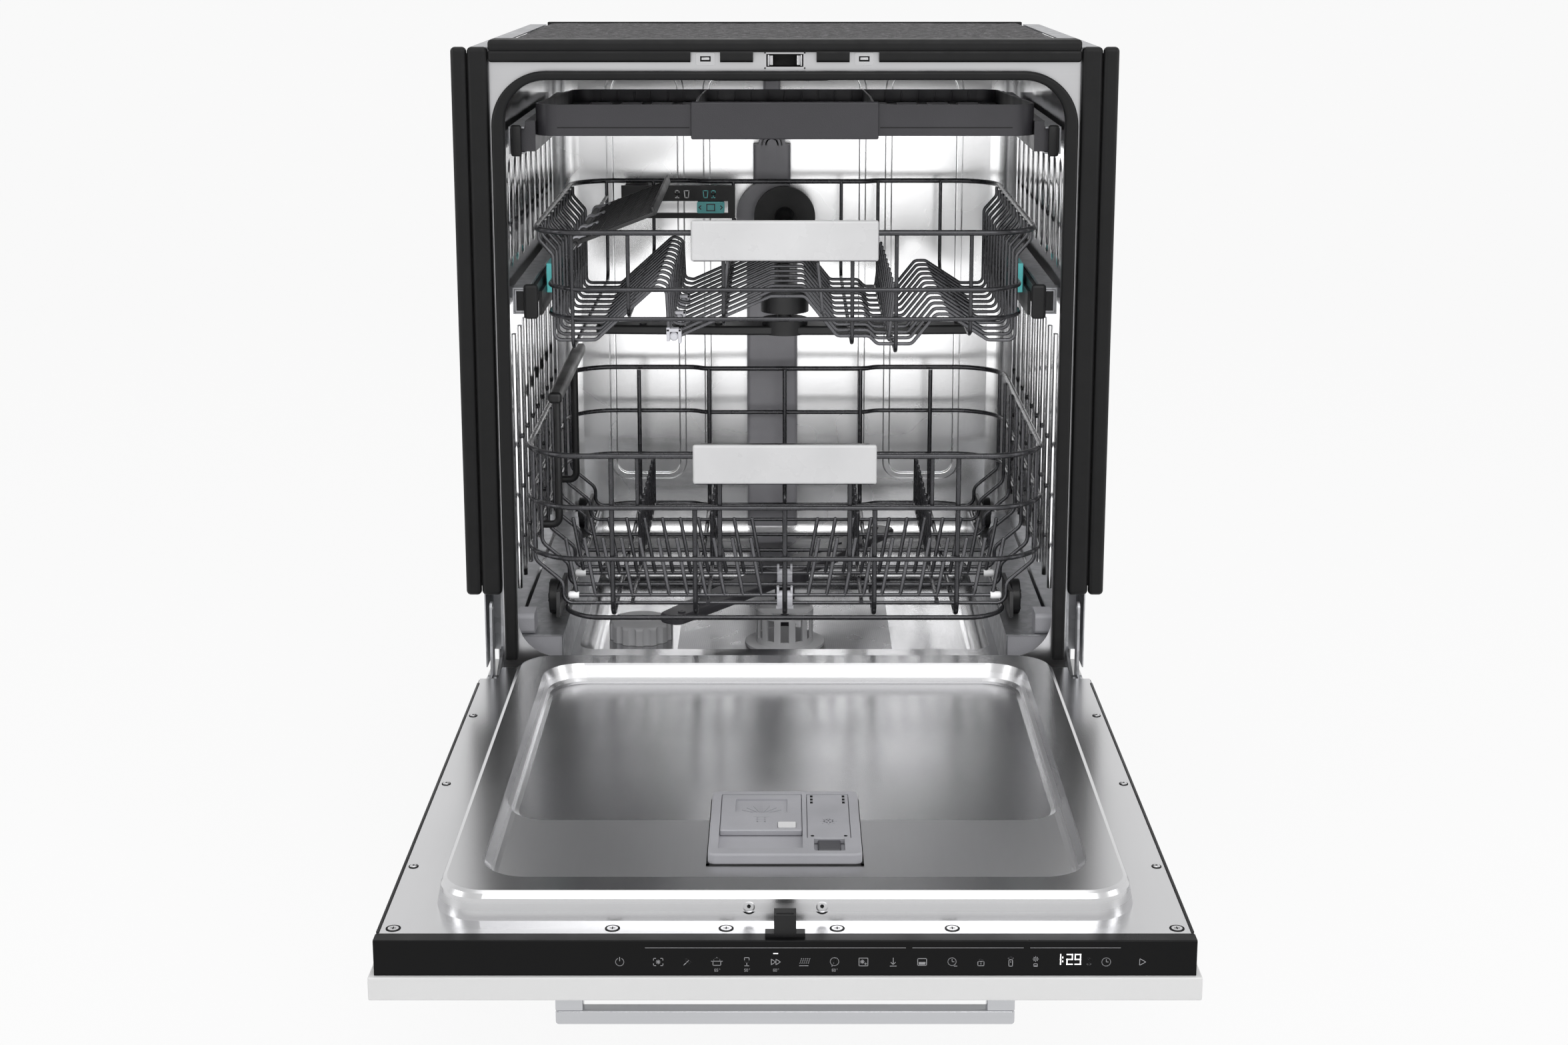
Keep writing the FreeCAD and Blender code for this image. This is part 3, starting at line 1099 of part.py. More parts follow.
def make_lower_rack():
    """Lower wire basket with its fixed tines, handle, wheel carriers and side support bar."""
    front, back = RACK_FRONT, RACK_BACK
    ring_front = front - WIRE - THIN_WIRE
    ring_back = back + WIRE + THIN_WIRE
    wires = []
    for step, radius in ((0, RIM_WIRE), (1, WIRE), (2, WIRE)):
        z = LOWER_RIM - step * RAIL_STEP
        wires += rack_ring(LOWER_RING, ring_front, ring_back, z, radius, 58.0, 10.0, step < 2)
    wires += rack_ring(LOWER_NARROW - 4.0, ring_front, ring_back, LOWER_FLOOR, WIRE, 40.0, 10.0)
    cross_z = LOWER_FLOOR + WIRE + THIN_WIRE
    jog_top = cross_z + 46.0
    for y in cross_places():
        side = [(LOWER_HALF, y, LOWER_RIM), (LOWER_HALF, y, jog_top), (LOWER_NARROW, y, jog_top - 24.0),
                (LOWER_NARROW, y, cross_z)]
        wires += lengths([(-x, b, c) for x, b, c in side] + side[::-1], THIN_WIRE, 12.0, (1, 6, 7, 12))
    second = LOWER_RIM - RAIL_STEP
    for x, top in ((-173.0, LOWER_RIM), (-90.0, second), (0.0, second), (90.0, second), (173.0, LOWER_RIM)):
        points = [(x, front, top), (x, front, LOWER_FLOOR), (x, back - 12.0, LOWER_FLOOR),
                  (x, back - 12.0, LOWER_RIM)]
        wires += lengths(points, WIRE, 16.0, (2, 3, 4))
    for x in (-147.0, 147.0):
        wires.append(rod([(x, front, LOWER_RIM), (x, front, second)], THIN_WIRE))
    for x in (-65.0, 65.0):
        wires.append(rod([(x, front, LOWER_RIM), (x, front, LOWER_RIM - 120.0)], WIRE))
    fence = front + FENCE_START
    for x in (-155.0, -78.0, 78.0, 155.0):
        wires.append(rod([(x, fold_places()[0] - 12.0, foot_z()), (x, back - 20.0, foot_z())], THIN_WIRE))
        for y in spread(fence, back - 34.0, 27.0):
            wires.append(tine((x, y, foot_z()), (0, -0.08, 1), TINE_HEIGHT, THIN_WIRE))
    save("lower_basket", wires)
    make_rack_handle("lower_handle", LOWER_RIM, ring_front)
    make_wheels()
    bar_x = -LOWER_HALF + 15.0
    bar_z = LOWER_RIM + 28.0
    bar = rounded_box(bar_x - 7.0, bar_x + 7.0, RACK_FRONT + 112.0, RACK_BACK - 54.0, bar_z,
                      bar_z + 12.0, 4.0)
    ring_z = LOWER_RIM - 2 * RAIL_STEP
    ring_x = WIRE + FIT - LOWER_RING
    legs = [rod([(bar_x, y, bar_z + 4.0), (bar_x, y, ring_z), (ring_x, y, ring_z)], 4.0, 8.0)
            for y in support_places()]
    save("support_bar", [fuse([bar] + legs)])


def foot_z():
    """Height of the lengthwise rods that lie on the cross wires and carry the tines."""
    return LOWER_FLOOR + WIRE + 3 * THIN_WIRE


def fold_z():
    """Height of the folding rods, which lie across the lengthwise rods."""
    return foot_z() + 2 * THIN_WIRE + FIT


def cross_places():
    return spread(RACK_FRONT + 32.0, RACK_BACK - 26.0, 66.0)


def support_places():
    """Legs of the side bar stand midway between two cross wires."""
    places = cross_places()
    return [(places[1] + places[2]) / 2, (places[-2] + places[-3]) / 2]


def wheel_places():
    return RACK_FRONT + 58.0, RACK_BACK - 58.0


def axle_z():
    return ROLL_Z + WHEEL_RADIUS


def make_wheels():
    """Black carriers clipped to the basket sides, with stub axles, and their rollers."""
    x0 = LOWER_NARROW + THIN_WIRE + FIT
    x1 = x0 + 3.5
    z = axle_z()
    carriers = []
    for y in wheel_places():
        outline = [(y - 46.0, z - 9.0), (y - 30.0, z - 14.0), (y + 40.0, z - 14.0), (y + 44.0, z + 12.0),
                   (y - 40.0, z + 16.0)]
        plate = prism_yz(outline, x0, x1)
        stub = cylinder(x1 - 1.0, y, z, AXLE_RADIUS, WHEEL_WIDTH + 4.0, V(1, 0, 0))
        carriers += both(fuse([plate, stub]))
    save("wheel_carriers", carriers)
    for name, y in zip(("front_wheels", "rear_wheels"), wheel_places()):
        tyre = cylinder(x1 + 1.0, y, z, WHEEL_RADIUS, WHEEL_WIDTH, V(1, 0, 0))
        tyre = tyre.makeFillet(1.5, [e for e in tyre.Edges if len(e.Vertexes) == 1])
        bore = cylinder(x1, y, z, AXLE_RADIUS + PIN_CLEARANCE, 40.0, V(1, 0, 0))
        save(name, both(tyre.cut(bore)))


def make_fold_tines():
    """Two rows of plate tines that fold about their own foot rods."""
    z = fold_z()
    reach = LOWER_NARROW - 8.0
    lean = math.tan(math.radians(TINE_LEAN))
    for name, y in zip(("front_fold_tines", "rear_fold_tines"), fold_places()):
        row = [rod([(-reach, y, z), (reach, y, z)], THIN_WIRE)]
        for x in spread(24.0, reach - 6.0, TINE_PITCH):
            row += both(tine((x, y, z), (lean, 0, 1), TINE_HEIGHT, THIN_WIRE))
        save(name, row)


def fold_places():
    return RACK_FRONT + FOLD_INSET, RACK_FRONT + FOLD_INSET + FOLD_SPACING


def make_rack_handle(name, rim, ring_front):
    """Grip plate in front of the rim wire, with a hooked upper edge."""
    width, height, thickness = HANDLE_PLATE
    back = ring_front - WIRE - 0.6
    plate = rounded_box(-width / 2, width / 2, back - thickness, back, rim - height + 13.0, rim + 13.0, 2.6)
    hook = rounded_box(-width / 2 + 6, width / 2 - 6, back - 2.0, back + 14.0, rim + 6.0, rim + 11.0, 2.0)
    save(name, [fuse([plate, hook])])


def floor_wave():
    """Outline of one upper floor wire from the left side to the right side."""
    low, n = UPPER_FLOOR, UPPER_NARROW
    return [(-UPPER_HALF, UPPER_RIM), (-UPPER_HALF, UPPER_RIM - 10.0), (-n, UPPER_RIM - 26.0), (-n, low),
            (-0.822 * n, low), (-0.560 * n, low + 54.0), (-0.512 * n, low + 50.0), (-0.503 * n, low + 6.0),
            (-0.459 * n, low + 4.0), (-0.061 * n, low + 44.0), (0.087 * n, low + 44.0),
            (0.227 * n, low + 4.0), (0.367 * n, low + 4.0), (0.402 * n, low - 4.0), (0.551 * n, low - 4.0),
            (0.656 * n, low + 26.0), (0.708 * n, low + 26.0), (0.883 * n, low), (n, low),
            (n, UPPER_RIM - 26.0), (UPPER_HALF, UPPER_RIM - 10.0), (UPPER_HALF, UPPER_RIM)]


def floor_places():
    return spread(RACK_FRONT + 26.0, RACK_BACK - 60.0, FLOOR_PITCH)


def wave_height(x):
    """Height of the upper floor wires at a place across the rack."""
    points = floor_wave()[3:-3]
    for (x0, z0), (x1, z1) in zip(points, points[1:]):
        if x0 <= x <= x1:
            return z0 + (z1 - z0) * (x - x0) / (x1 - x0)
    return UPPER_FLOOR


def make_upper_rack():
    """Upper wire basket with wavy floor wires and tines, its handle, cup shelf and levers."""
    front, back = RACK_FRONT, RACK_BACK
    ring_front = front - WIRE - FLOOR_WIRE
    ring_back = back + WIRE + FLOOR_WIRE
    wires = rack_ring(UPPER_RING, ring_front, ring_back, UPPER_RIM, RIM_WIRE, 50.0, 8.0)
    low_half = UPPER_NARROW + FLOOR_WIRE + WIRE
    for drop in (56.0, 85.0):
        z = UPPER_RIM - drop
        cut = 26.0
        right = [(low_half - cut, ring_front, z), (low_half, front + cut, z), (low_half, back - 30.0, z)]
        left = [(-x, y, z) for x, y, z in right[::-1]]
        wires += lengths(left + right, LOW_RING_WIRE, 40.0, (2, 4, 6, 8))
    for y in floor_places():
        wires += lengths([(x, y, z) for x, z in floor_wave()], FLOOR_WIRE, 7.0, (6, 14, 22, 35))
    for x in UPPER_LENGTHWISE:
        z = wave_height(x) - FLOOR_WIRE - THIN_WIRE - 0.5
        points = [(x, front, UPPER_RIM), (x, front, z), (x, back - 8.0, z), (x, back - 8.0, UPPER_RIM)]
        wires += lengths(points, THIN_WIRE, 14.0, (2, 3))
    for share, lean in TINE_SHARES:
        x = share * UPPER_NARROW
        z = wave_height(x) + FLOOR_WIRE + 1.0
        for y in spread(front + 44.0, back - 78.0, FLOOR_PITCH):
            wires.append(tine((x, y, z), (lean, 0, 1), 52.0, FLOOR_WIRE))
        wires.append(rod([(x, front + 34.0, z), (x, back - 68.0, z)], FLOOR_WIRE))
    hinge_x, hinge_z = shelf_pivot()
    wires.append(rod([(hinge_x, front, hinge_z), (hinge_x, back - 8.0, hinge_z)], THIN_WIRE))
    save("upper_basket", wires)
    make_rack_handle("upper_handle", UPPER_RIM, ring_front)
    make_cup_shelf()
    bracket_y = back - 22.0
    top = UPPER_RIM - RIM_WIRE - FIT
    left = BRACKET_INSET - UPPER_NARROW
    right = left + BRACKET_WIDTH
    slot_low = top - BRACKET_HEIGHT + 6.0
    slot_high = slot_low + SLIDER_HEIGHT
    frame = box(left, right, bracket_y, bracket_y + 5.0, top - BRACKET_HEIGHT, top)
    frame = frame.cut(box(left + BRACKET_POST, right - BRACKET_EDGE, bracket_y - 1, bracket_y + 9.0,
                          slot_low, slot_high))
    hook = box(left + 4.0, left + BRACKET_POST - 10.0, bracket_y + 4.0, ring_back + 1.0, top - 6.0, top)
    save("shelf_bracket", [fuse([frame, hook])])
    slider_x = right - BRACKET_EDGE - 4.0
    slider = rounded_box(slider_x - SLIDER_WIDTH, slider_x, bracket_y - 3.5, bracket_y + 4.0, slot_low + FIT,
                         slot_high - FIT, 2.0, V(0, 1, 0))
    save("shelf_slider", [slider])
    lever_x = low_half + LOW_RING_WIRE + FIT
    lever_y = front + LIFT_LEVER_START
    lever = rounded_box(lever_x, lift_plate_x() - FIT, lever_y, lever_y + LIFT_LEVER_LENGTH,
                        RAIL_Z - LIFT_LEVER_DROP, RAIL_Z + LIFT_LEVER_RISE, 1.0)
    save("height_levers", both(lever))


def shelf_pivot():
    return UPPER_LENGTHWISE[0], UPPER_RIM - 17.0


def make_cup_shelf():
    """Lattice shelf hinged along the left side of the upper rack, resting a little raised."""
    x, z = shelf_pivot()
    y0 = RACK_FRONT + 42.0
    y1 = y0 + SHELF_LENGTH
    frame = box(x, x + SHELF_WIDTH, y0, y1, z - 2.0, z + 2.0)
    cells = []
    columns = 3
    rows = 9
    cell_x = (SHELF_WIDTH - 5.0) / columns
    cell_y = (SHELF_LENGTH - 5.0) / rows
    for i in range(columns):
        for j in range(rows):
            cells.append(box(x + 5.0 + i * cell_x, x + i * cell_x + cell_x, y0 + 5.0 + j * cell_y,
                             y0 + j * cell_y + cell_y, z - 3.0, z + 3.0))
    lattice = frame.cut(Part.makeCompound(cells))
    knuckle = cylinder(x, y0, z, THIN_WIRE + 2.0, SHELF_LENGTH, V(0, 1, 0))
    lip = box(x + SHELF_WIDTH - 3.0, x + SHELF_WIDTH, y0, y1, z - 2.0, z + 7.0)
    bore = cylinder(x, y0 - 1.0, z, THIN_WIRE + PIN_CLEARANCE, SHELF_LENGTH + 2.0, V(0, 1, 0))
    shelf = fuse([lattice, knuckle, lip]).cut(bore)
    shelf.rotate(V(x, 0, z), V(0, 1, 0), -SHELF_TILT)
    save("cup_shelf", [shelf])


def make_tray():
    """Cutlery tray: slotted floor, dividers, side runners in the wall channels, and a front plate."""
    y0 = RACK_FRONT - 8.0
    y1 = RACK_BACK - TRAY_BACK_GAP
    wall = TRAY_WALL
    outer = rounded_box(-TRAY_HALF, TRAY_HALF, y0, y1, TRAY_BOTTOM, TRAY_TOP, 22.0, V(0, 0, 1))
    inner = rounded_box(wall - TRAY_HALF, TRAY_HALF - wall, y0 + wall, y1 - wall, TRAY_BOTTOM + wall,
                        TRAY_TOP + 1, 20.0, V(0, 0, 1))
    tray = outer.cut(inner)
    slots = []
    for x in spread(-TRAY_HALF + 34.0, TRAY_HALF - 34.0, 34.0):
        for y in spread(y0 + 26.0, y1 - 76.0, 75.0):
            slots.append(box(x - 12.0, x + 12.0, y, y + 58.0, TRAY_BOTTOM - 1, TRAY_BOTTOM + wall + 1))
    tray = tray.cut(Part.makeCompound(slots))
    dividers = both(box(TRAY_FRONT_WIDTH / 2 - 2.0, TRAY_FRONT_WIDTH / 2, y0 + wall, y1 - wall,
                        TRAY_BOTTOM + wall / 2, TRAY_TOP - 6.0))
    rail_z = tray_rail_z()
    half = RAIL_HEIGHT / 2 - RAIL_WALL - RAIL_SLOT
    runner = fuse([box(TRAY_HALF - 1.0, rail_outer() - RAIL_WALL - RAIL_SLOT, y0 + 4.0, y1, rail_z - half,
                       rail_z + half),
                   box(TRAY_HALF - 1.0, rail_outer() - rail_width() - FIT, y0 + 4.0, y1, rail_z - half,
                       TRAY_BOTTOM + 14.0)])
    fall = prism_yz([(y0 + 24.0, TRAY_TOP), (y1 + 1.0, TRAY_TOP - TRAY_FALL), (y1 + 1.0, TRAY_TOP + 9.0),
                     (y0 + 24.0, TRAY_TOP + 9.0)], -TRAY_HALF - 1.0, TRAY_HALF + 1.0)
    save("cutlery_tray", [fuse([fuse([tray] + dividers).cut(fall)] + both(runner))])
    plate = rounded_box(-TRAY_FRONT_WIDTH / 2, TRAY_FRONT_WIDTH / 2, y0 - 4.0, y0, TRAY_BOTTOM - 3.0,
                        TRAY_TOP + 3.0, 1.8)
    save("tray_front", [plate])


def main():
    os.makedirs("parts", exist_ok=True)
    make_base()
    make_feet()
    make_side_frames()
    make_tub()
    make_felt()
    make_trims()
    make_gasket()
    make_flange_fittings()
    make_fixed_rails()
    make_upper_rails()
    make_water_parts()
    make_spray_arms()
    make_hinges()
    make_door_liner()
    make_door_shell()
    make_dispenser()
    make_lower_rack()
    make_fold_tines()
    make_upper_rack()
    make_tray()


main()
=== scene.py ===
"""Built-in dishwasher with its door open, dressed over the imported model."""
import json
import math

import bmesh
import bpy
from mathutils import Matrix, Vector, noise


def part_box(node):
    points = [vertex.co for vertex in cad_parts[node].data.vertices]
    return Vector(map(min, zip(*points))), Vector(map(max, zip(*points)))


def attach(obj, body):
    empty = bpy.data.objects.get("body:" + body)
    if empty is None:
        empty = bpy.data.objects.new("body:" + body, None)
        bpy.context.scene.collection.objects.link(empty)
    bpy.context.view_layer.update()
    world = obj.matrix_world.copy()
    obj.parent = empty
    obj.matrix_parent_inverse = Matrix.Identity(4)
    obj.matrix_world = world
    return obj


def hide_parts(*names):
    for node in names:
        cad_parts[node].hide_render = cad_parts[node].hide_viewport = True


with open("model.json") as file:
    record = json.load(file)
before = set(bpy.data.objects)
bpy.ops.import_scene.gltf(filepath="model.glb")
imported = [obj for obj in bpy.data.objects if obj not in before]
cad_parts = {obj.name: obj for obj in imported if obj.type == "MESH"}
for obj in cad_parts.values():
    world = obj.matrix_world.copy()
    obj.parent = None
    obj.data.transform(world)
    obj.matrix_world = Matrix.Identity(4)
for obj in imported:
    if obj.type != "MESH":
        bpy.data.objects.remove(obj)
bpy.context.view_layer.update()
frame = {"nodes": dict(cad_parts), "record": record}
scene = bpy.context.scene

# Places are given in millimetres from the front flange plane of the tub.
MM = 0.001
FRONT = 40.5
PIVOT_Y = -26.0
PIVOT_Z = 234.0
TUB_HALF = 270.0
LINER_TOP = 248.0
HUB_Y = 265.0
RIGHT, BACK, UP = Vector((1, 0, 0)), Vector((0, 1, 0)), Vector((0, 0, 1))


def spot(x, y, z):
    """Place in the shared frame, in metres."""
    return Vector((x * MM, (FRONT + y) * MM, z * MM))


def door_spot(x, depth, height):
    """Place on the opened door, from its depth and height on the closed door."""
    return spot(x, PIVOT_Y - (height - PIVOT_Z), PIVOT_Z + depth - PIVOT_Y)


def srgb(r, g, b):
    """Linear colour of an 8-bit display colour."""
    linear = []
    for value in (r, g, b):
        c = value / 255.0
        linear.append(c / 12.92 if c <= 0.04045 else ((c + 0.055) / 1.055) ** 2.4)
    return linear


# Materials

class Look:
    """A principled material with small helpers for its node graph."""

    def __init__(self, name, **fixed):
        self.material = bpy.data.materials.new(name)
        self.material.use_nodes = True
        self.tree = self.material.node_tree
        self.shader = self.tree.nodes["Principled BSDF"]
        self.coords = self.node("ShaderNodeTexCoord")
        self.fill(self.shader, fixed)

    def fill(self, node, values):
        """Sets inputs of a node, named with underscores for spaces."""
        for socket, value in values.items():
            node.inputs[socket.replace("_", " ")].default_value = value
        return node

    def node(self, kind, **values):
        return self.fill(self.tree.nodes.new(kind), values)

    def link(self, a, b):
        self.tree.links.new(a, b)

    def place(self, stretch=(1, 1, 1)):
        mapping = self.node("ShaderNodeMapping", Scale=stretch)
        self.link(self.coords.outputs["Object"], mapping.inputs["Vector"])
        return mapping.outputs["Vector"]

    def axis(self, name):
        """One coordinate of the surface point, in metres."""
        made = self.node("ShaderNodeSeparateXYZ")
        self.link(self.coords.outputs["Object"], made.inputs[0])
        return made.outputs[name]

    def noise(self, scale, detail=3.0, stretch=(1, 1, 1), rough=0.5):
        made = self.node("ShaderNodeTexNoise", Scale=scale, Detail=detail, Roughness=rough)
        self.link(self.place(stretch), made.inputs["Vector"])
        return made.outputs["Fac"]

    def cells(self, scale):
        made = self.node("ShaderNodeTexVoronoi", Scale=scale)
        self.link(self.place(), made.inputs["Vector"])
        return made

    def ramp(self, factor, stops):
        made = self.node("ShaderNodeValToRGB")
        elements = made.color_ramp.elements
        while len(elements) < len(stops):
            elements.new(0.5)
        for element, (at, colour) in zip(elements, stops):
            element.position = at
            element.color = (*colour, 1.0)
        self.link(factor, made.inputs["Fac"])
        return made.outputs["Color"]

    def span(self, factor, low, high, start=0.3, end=0.7):
        made = self.node("ShaderNodeMapRange", From_Min=start, From_Max=end, To_Min=low, To_Max=high)
        self.link(factor, made.inputs["Value"])
        return made.outputs["Result"]

    def math(self, operation, a, b):
        made = self.node("ShaderNodeMath")
        made.operation = operation
        for socket, value in zip(made.inputs, (a, b)):
            if isinstance(value, (int, float)):
                socket.default_value = value
            else:
                self.link(value, socket)
        return made.outputs["Value"]

    def colour(self, source):
        self.link(source, self.shader.inputs["Base Color"])

    def rough(self, source):
        self.link(source, self.shader.inputs["Roughness"])

    def cloud(self, scale, detail, colour, spread):
        """Base colour in soft patches round a colour."""
        self.colour(self.ramp(self.noise(scale, detail), shades(colour, spread)))

    def haze(self, scale, detail, low, high):
        """Roughness in soft patches between two values."""
        self.rough(self.span(self.noise(scale, detail), low, high))

    def bump(self, height, strength, distance):
        made = self.node("ShaderNodeBump", Strength=strength, Distance=distance)
        self.link(height, made.inputs["Height"])
        self.link(made.outputs["Normal"], self.shader.inputs["Normal"])

    def blend(self, a, share, b):
        """Sum of two values, weighted by the first one's share and the rest."""
        rest = round(1 - share, 6)
        return self.math("ADD", self.math("MULTIPLY", a, share), self.math("MULTIPLY", b, rest))

    def mixed(self, factor, a, b):
        made = self.node("ShaderNodeMix")
        made.data_type = "RGBA"
        self.link(factor, made.inputs["Factor"])
        for key, value in (("A", a), ("B", b)):
            socket = [s for s in made.inputs if s.name == key and s.type == "RGBA"][0]
            if isinstance(value, (list, tuple)):
                socket.default_value = (*value, 1.0)
            else:
                self.link(value, socket)
        return [s for s in made.outputs if s.type == "RGBA"][0]


def shades(colour, spread):
    """Stops of a colour ramp a little darker and lighter than a colour."""
    dark = [c * (1 - spread) for c in colour]
    light = [min(1.0, c * (1 + spread)) for c in colour]
    return [(0.3, dark), (0.7, light)]


def plastic(name, colour, rough, grain=900.0, depth=0.25, spread=0.1, shine=0.5):
    """Moulded plastic: cloudy colour, fine spark-eroded grain and rubbed patches."""
    look = Look(name, Specular_IOR_Level=shine)
    look.cloud(14.0, 5.0, colour, spread)
    look.haze(30.0, 4.0, rough - 0.07, rough + 0.07)
    look.bump(look.cells(grain).outputs["Distance"], depth, 0.0003)
    return look.material


def split_plastic(name, axis, at, below, above, rough):
    """Moulded plastic in two colours that meet at a plane across one axis."""
    look = Look(name, Specular_IOR_Level=0.5)
    tone = look.noise(14.0, 5.0)
    side = look.span(look.axis(axis), 0.0, 1.0, at - 0.0001, at + 0.0001)
    look.colour(look.mixed(side, look.ramp(tone, shades(below, 0.05)), look.ramp(tone, shades(above, 0.12))))
    look.haze(30.0, 4.0, rough - 0.06, rough + 0.06)
    look.bump(look.cells(1100.0).outputs["Distance"], 0.1, 0.0002)
    return look.material


def polished_steel(name, colour, rough, wave):
    """Bright rolled sheet: soft waviness, faint rolling lines and water-mark haze."""
    look = Look(name, Metallic=1.0, Anisotropic=0.2)
    look.cloud(9.0, 3.0, colour, 0.03)
    look.haze(7.0, 2.0, rough - 0.03, rough + 0.04)
    look.bump(look.noise(9.0, 1.0), wave, 0.012)
    return look.material


def two_faced_steel(name, inner, outer, back):
    """Sheet that is bright on its inner face, with dull, streaked mill finish on its outer face, whose darker
    colour is painted shade.
    """
    look = Look(name, Metallic=1.0, Anisotropic=0.2)
    side = look.span(look.axis("Y"), 0.0, 1.0, back - 0.0003, back - 0.0001)
    streaks = look.noise(30.0, 5.0, (1.0, 1.0, 0.06))
    # Inner face bright; outer face streaked mill finish, darkened as painted shade.
    look.colour(look.mixed(side, look.ramp(look.noise(9.0, 3.0), shades(inner, 0.03)),
                           look.ramp(streaks, shades(outer, 0.16))))
    look.rough(look.math("ADD", look.math("MULTIPLY", side, 0.2), look.span(look.noise(7.0, 2.0), 0.23, 0.3)))
    look.bump(look.noise(5.0, 1.0, (1.0, 1.0, 0.4)), 0.02, 0.012)
    return look.material


def brushed_steel(name, colour, rough):
    """Satin sheet: fine brush streaks in its tone and gloss, with slow shading."""
    look = Look(name, Metallic=1.0, Anisotropic=0.3)
    streaks = look.noise(420.0, 3.0, (0.02, 1.0, 1.0))
    tone = look.blend(streaks, 0.3, look.noise(6.0, 3.0))
    look.colour(look.ramp(tone, shades(colour, 0.035)))
    look.haze(5.0, 2.0, rough - 0.02, rough + 0.03)
    return look.material


def pressed_liner(name, colour, ledge):
    """Door liner sheet: satin grain that is coarser at the height of the raised ledge."""
    look = Look(name, Metallic=1.0, Anisotropic=0.2)
    streaks = look.noise(300.0, 2.0, (1.0, 0.02, 1.0))
    tone = look.blend(streaks, 0.2, look.noise(5.0, 3.0))
    look.colour(look.ramp(tone, shades(colour, 0.03)))
    rise = look.span(look.axis("Z"), 0.0, 1.0, ledge - 0.004, ledge - 0.001)
    fall = look.span(look.axis("Z"), 1.0, 0.0, ledge + 0.001, ledge + 0.004)
    field = look.math("MULTIPLY", look.math("MULTIPLY", rise, fall), 0.11)
    look.rough(look.math("ADD", field, look.span(look.noise(4.0, 2.0), 0.21, 0.25)))
    return look.material


def pierced_steel(name, colour, pitch):
    """Filter sheet: staggered fine holes painted near-black as shade between bright webs."""
    look = Look(name, Metallic=1.0)
    turns = 2 * math.pi / pitch
    across = look.math("SINE", look.math("MULTIPLY", look.axis("X"), turns), 0.0)
    along = look.math("SINE", look.math("MULTIPLY", look.axis("Y"), turns), 0.0)
    lattice = look.math("MULTIPLY", across, along)
    holes = look.span(lattice, 0.0, 1.0, 0.15, 0.4)
    sheet = look.ramp(look.noise(18.0, 4.0), shades(colour, 0.12))
    # The holes are painted shade.
    look.colour(look.mixed(holes, sheet, [0.05, 0.05, 0.055]))
    look.haze(25.0, 4.0, 0.24, 0.36)
    look.bump(holes, 0.35, -0.0006)
    return look.material


def galvanised(name, colour):
    """Zinc-coated sheet with crystal spangles."""
    look = Look(name, Metallic=0.9)
    spangle = look.cells(120.0)
    look.colour(look.ramp(spangle.outputs["Color"], shades(colour, 0.1)))
    look.rough(look.span(spangle.outputs["Distance"], 0.3, 0.45, 0.0, 0.6))
    look.bump(look.noise(300.0, 3.0), 0.06, 0.0004)
    return look.material


def coated_wire(name, colour):
    """Nylon-coated wire: dark metallic coat with small sags and rubbed spots."""
    look = Look(name, Metallic=0.6, Coat_Weight=0.3, Coat_Roughness=0.25)
    look.cloud(55.0, 4.0, colour, 0.2)
    look.haze(90.0, 4.0, 0.2, 0.32)
    look.bump(look.noise(420.0, 3.0), 0.12, 0.0004)
    return look.material


def rubber(name, colour, rough):
    """Extruded rubber: faint drag lines along its length and dusty sheen."""
    look = Look(name, Sheen_Weight=0.03, Specular_IOR_Level=0.28)
    look.cloud(22.0, 5.0, colour, 0.25)
    look.haze(70.0, 4.0, rough - 0.08, rough + 0.08)
    look.bump(look.noise(500.0, 2.0, (1.0, 1.0, 0.02)), 0.1, 0.0003)
    return look.material


def felt_cloth(name):
    """Pressed fibre mat: tangled dark and light fibres."""
    look = Look(name, Roughness=0.95, Sheen_Weight=0.2, Specular_IOR_Level=0.2)
    fibres = look.noise(420.0, 8.0, rough=0.8)
    clumps = look.noise(110.0, 4.0)
    tones = [(0.38, srgb(22, 22, 23)), (0.5, srgb(74, 73, 75)), (0.64, srgb(170, 168, 170))]
    look.colour(look.ramp(look.blend(fibres, 0.7, clumps), tones))
    look.bump(fibres, 0.9, 0.002)
    return look.material


def lacquer(name, colour):
    """Sprayed board: faint orange peel and soft gloss."""
    look = Look(name, Coat_Weight=0.15, Coat_Roughness=0.2)
    look.cloud(8.0, 4.0, colour, 0.012)
    look.haze(40.0, 3.0, 0.34, 0.44)
    look.bump(look.noise(650.0, 2.0), 0.05, 0.0003)
    return look.material


def printed(name, colour, glow=0.0):
    """Screen-printed ink, or a lit segment behind a diffuser."""
    look = Look(name, Roughness=0.5, Emission_Strength=glow, Emission_Color=(*colour, 1.0))
    look.cloud(900.0, 3.0, colour, 0.08)
    look.bump(look.noise(2500.0, 2.0), 0.05, 0.0001)
    return look.material


SILVER = srgb(226, 226, 227)
BLACK = srgb(22, 22, 23)
GREY = srgb(58, 57, 61)
PALE = srgb(166, 166, 171)
DIM = srgb(70, 70, 74)

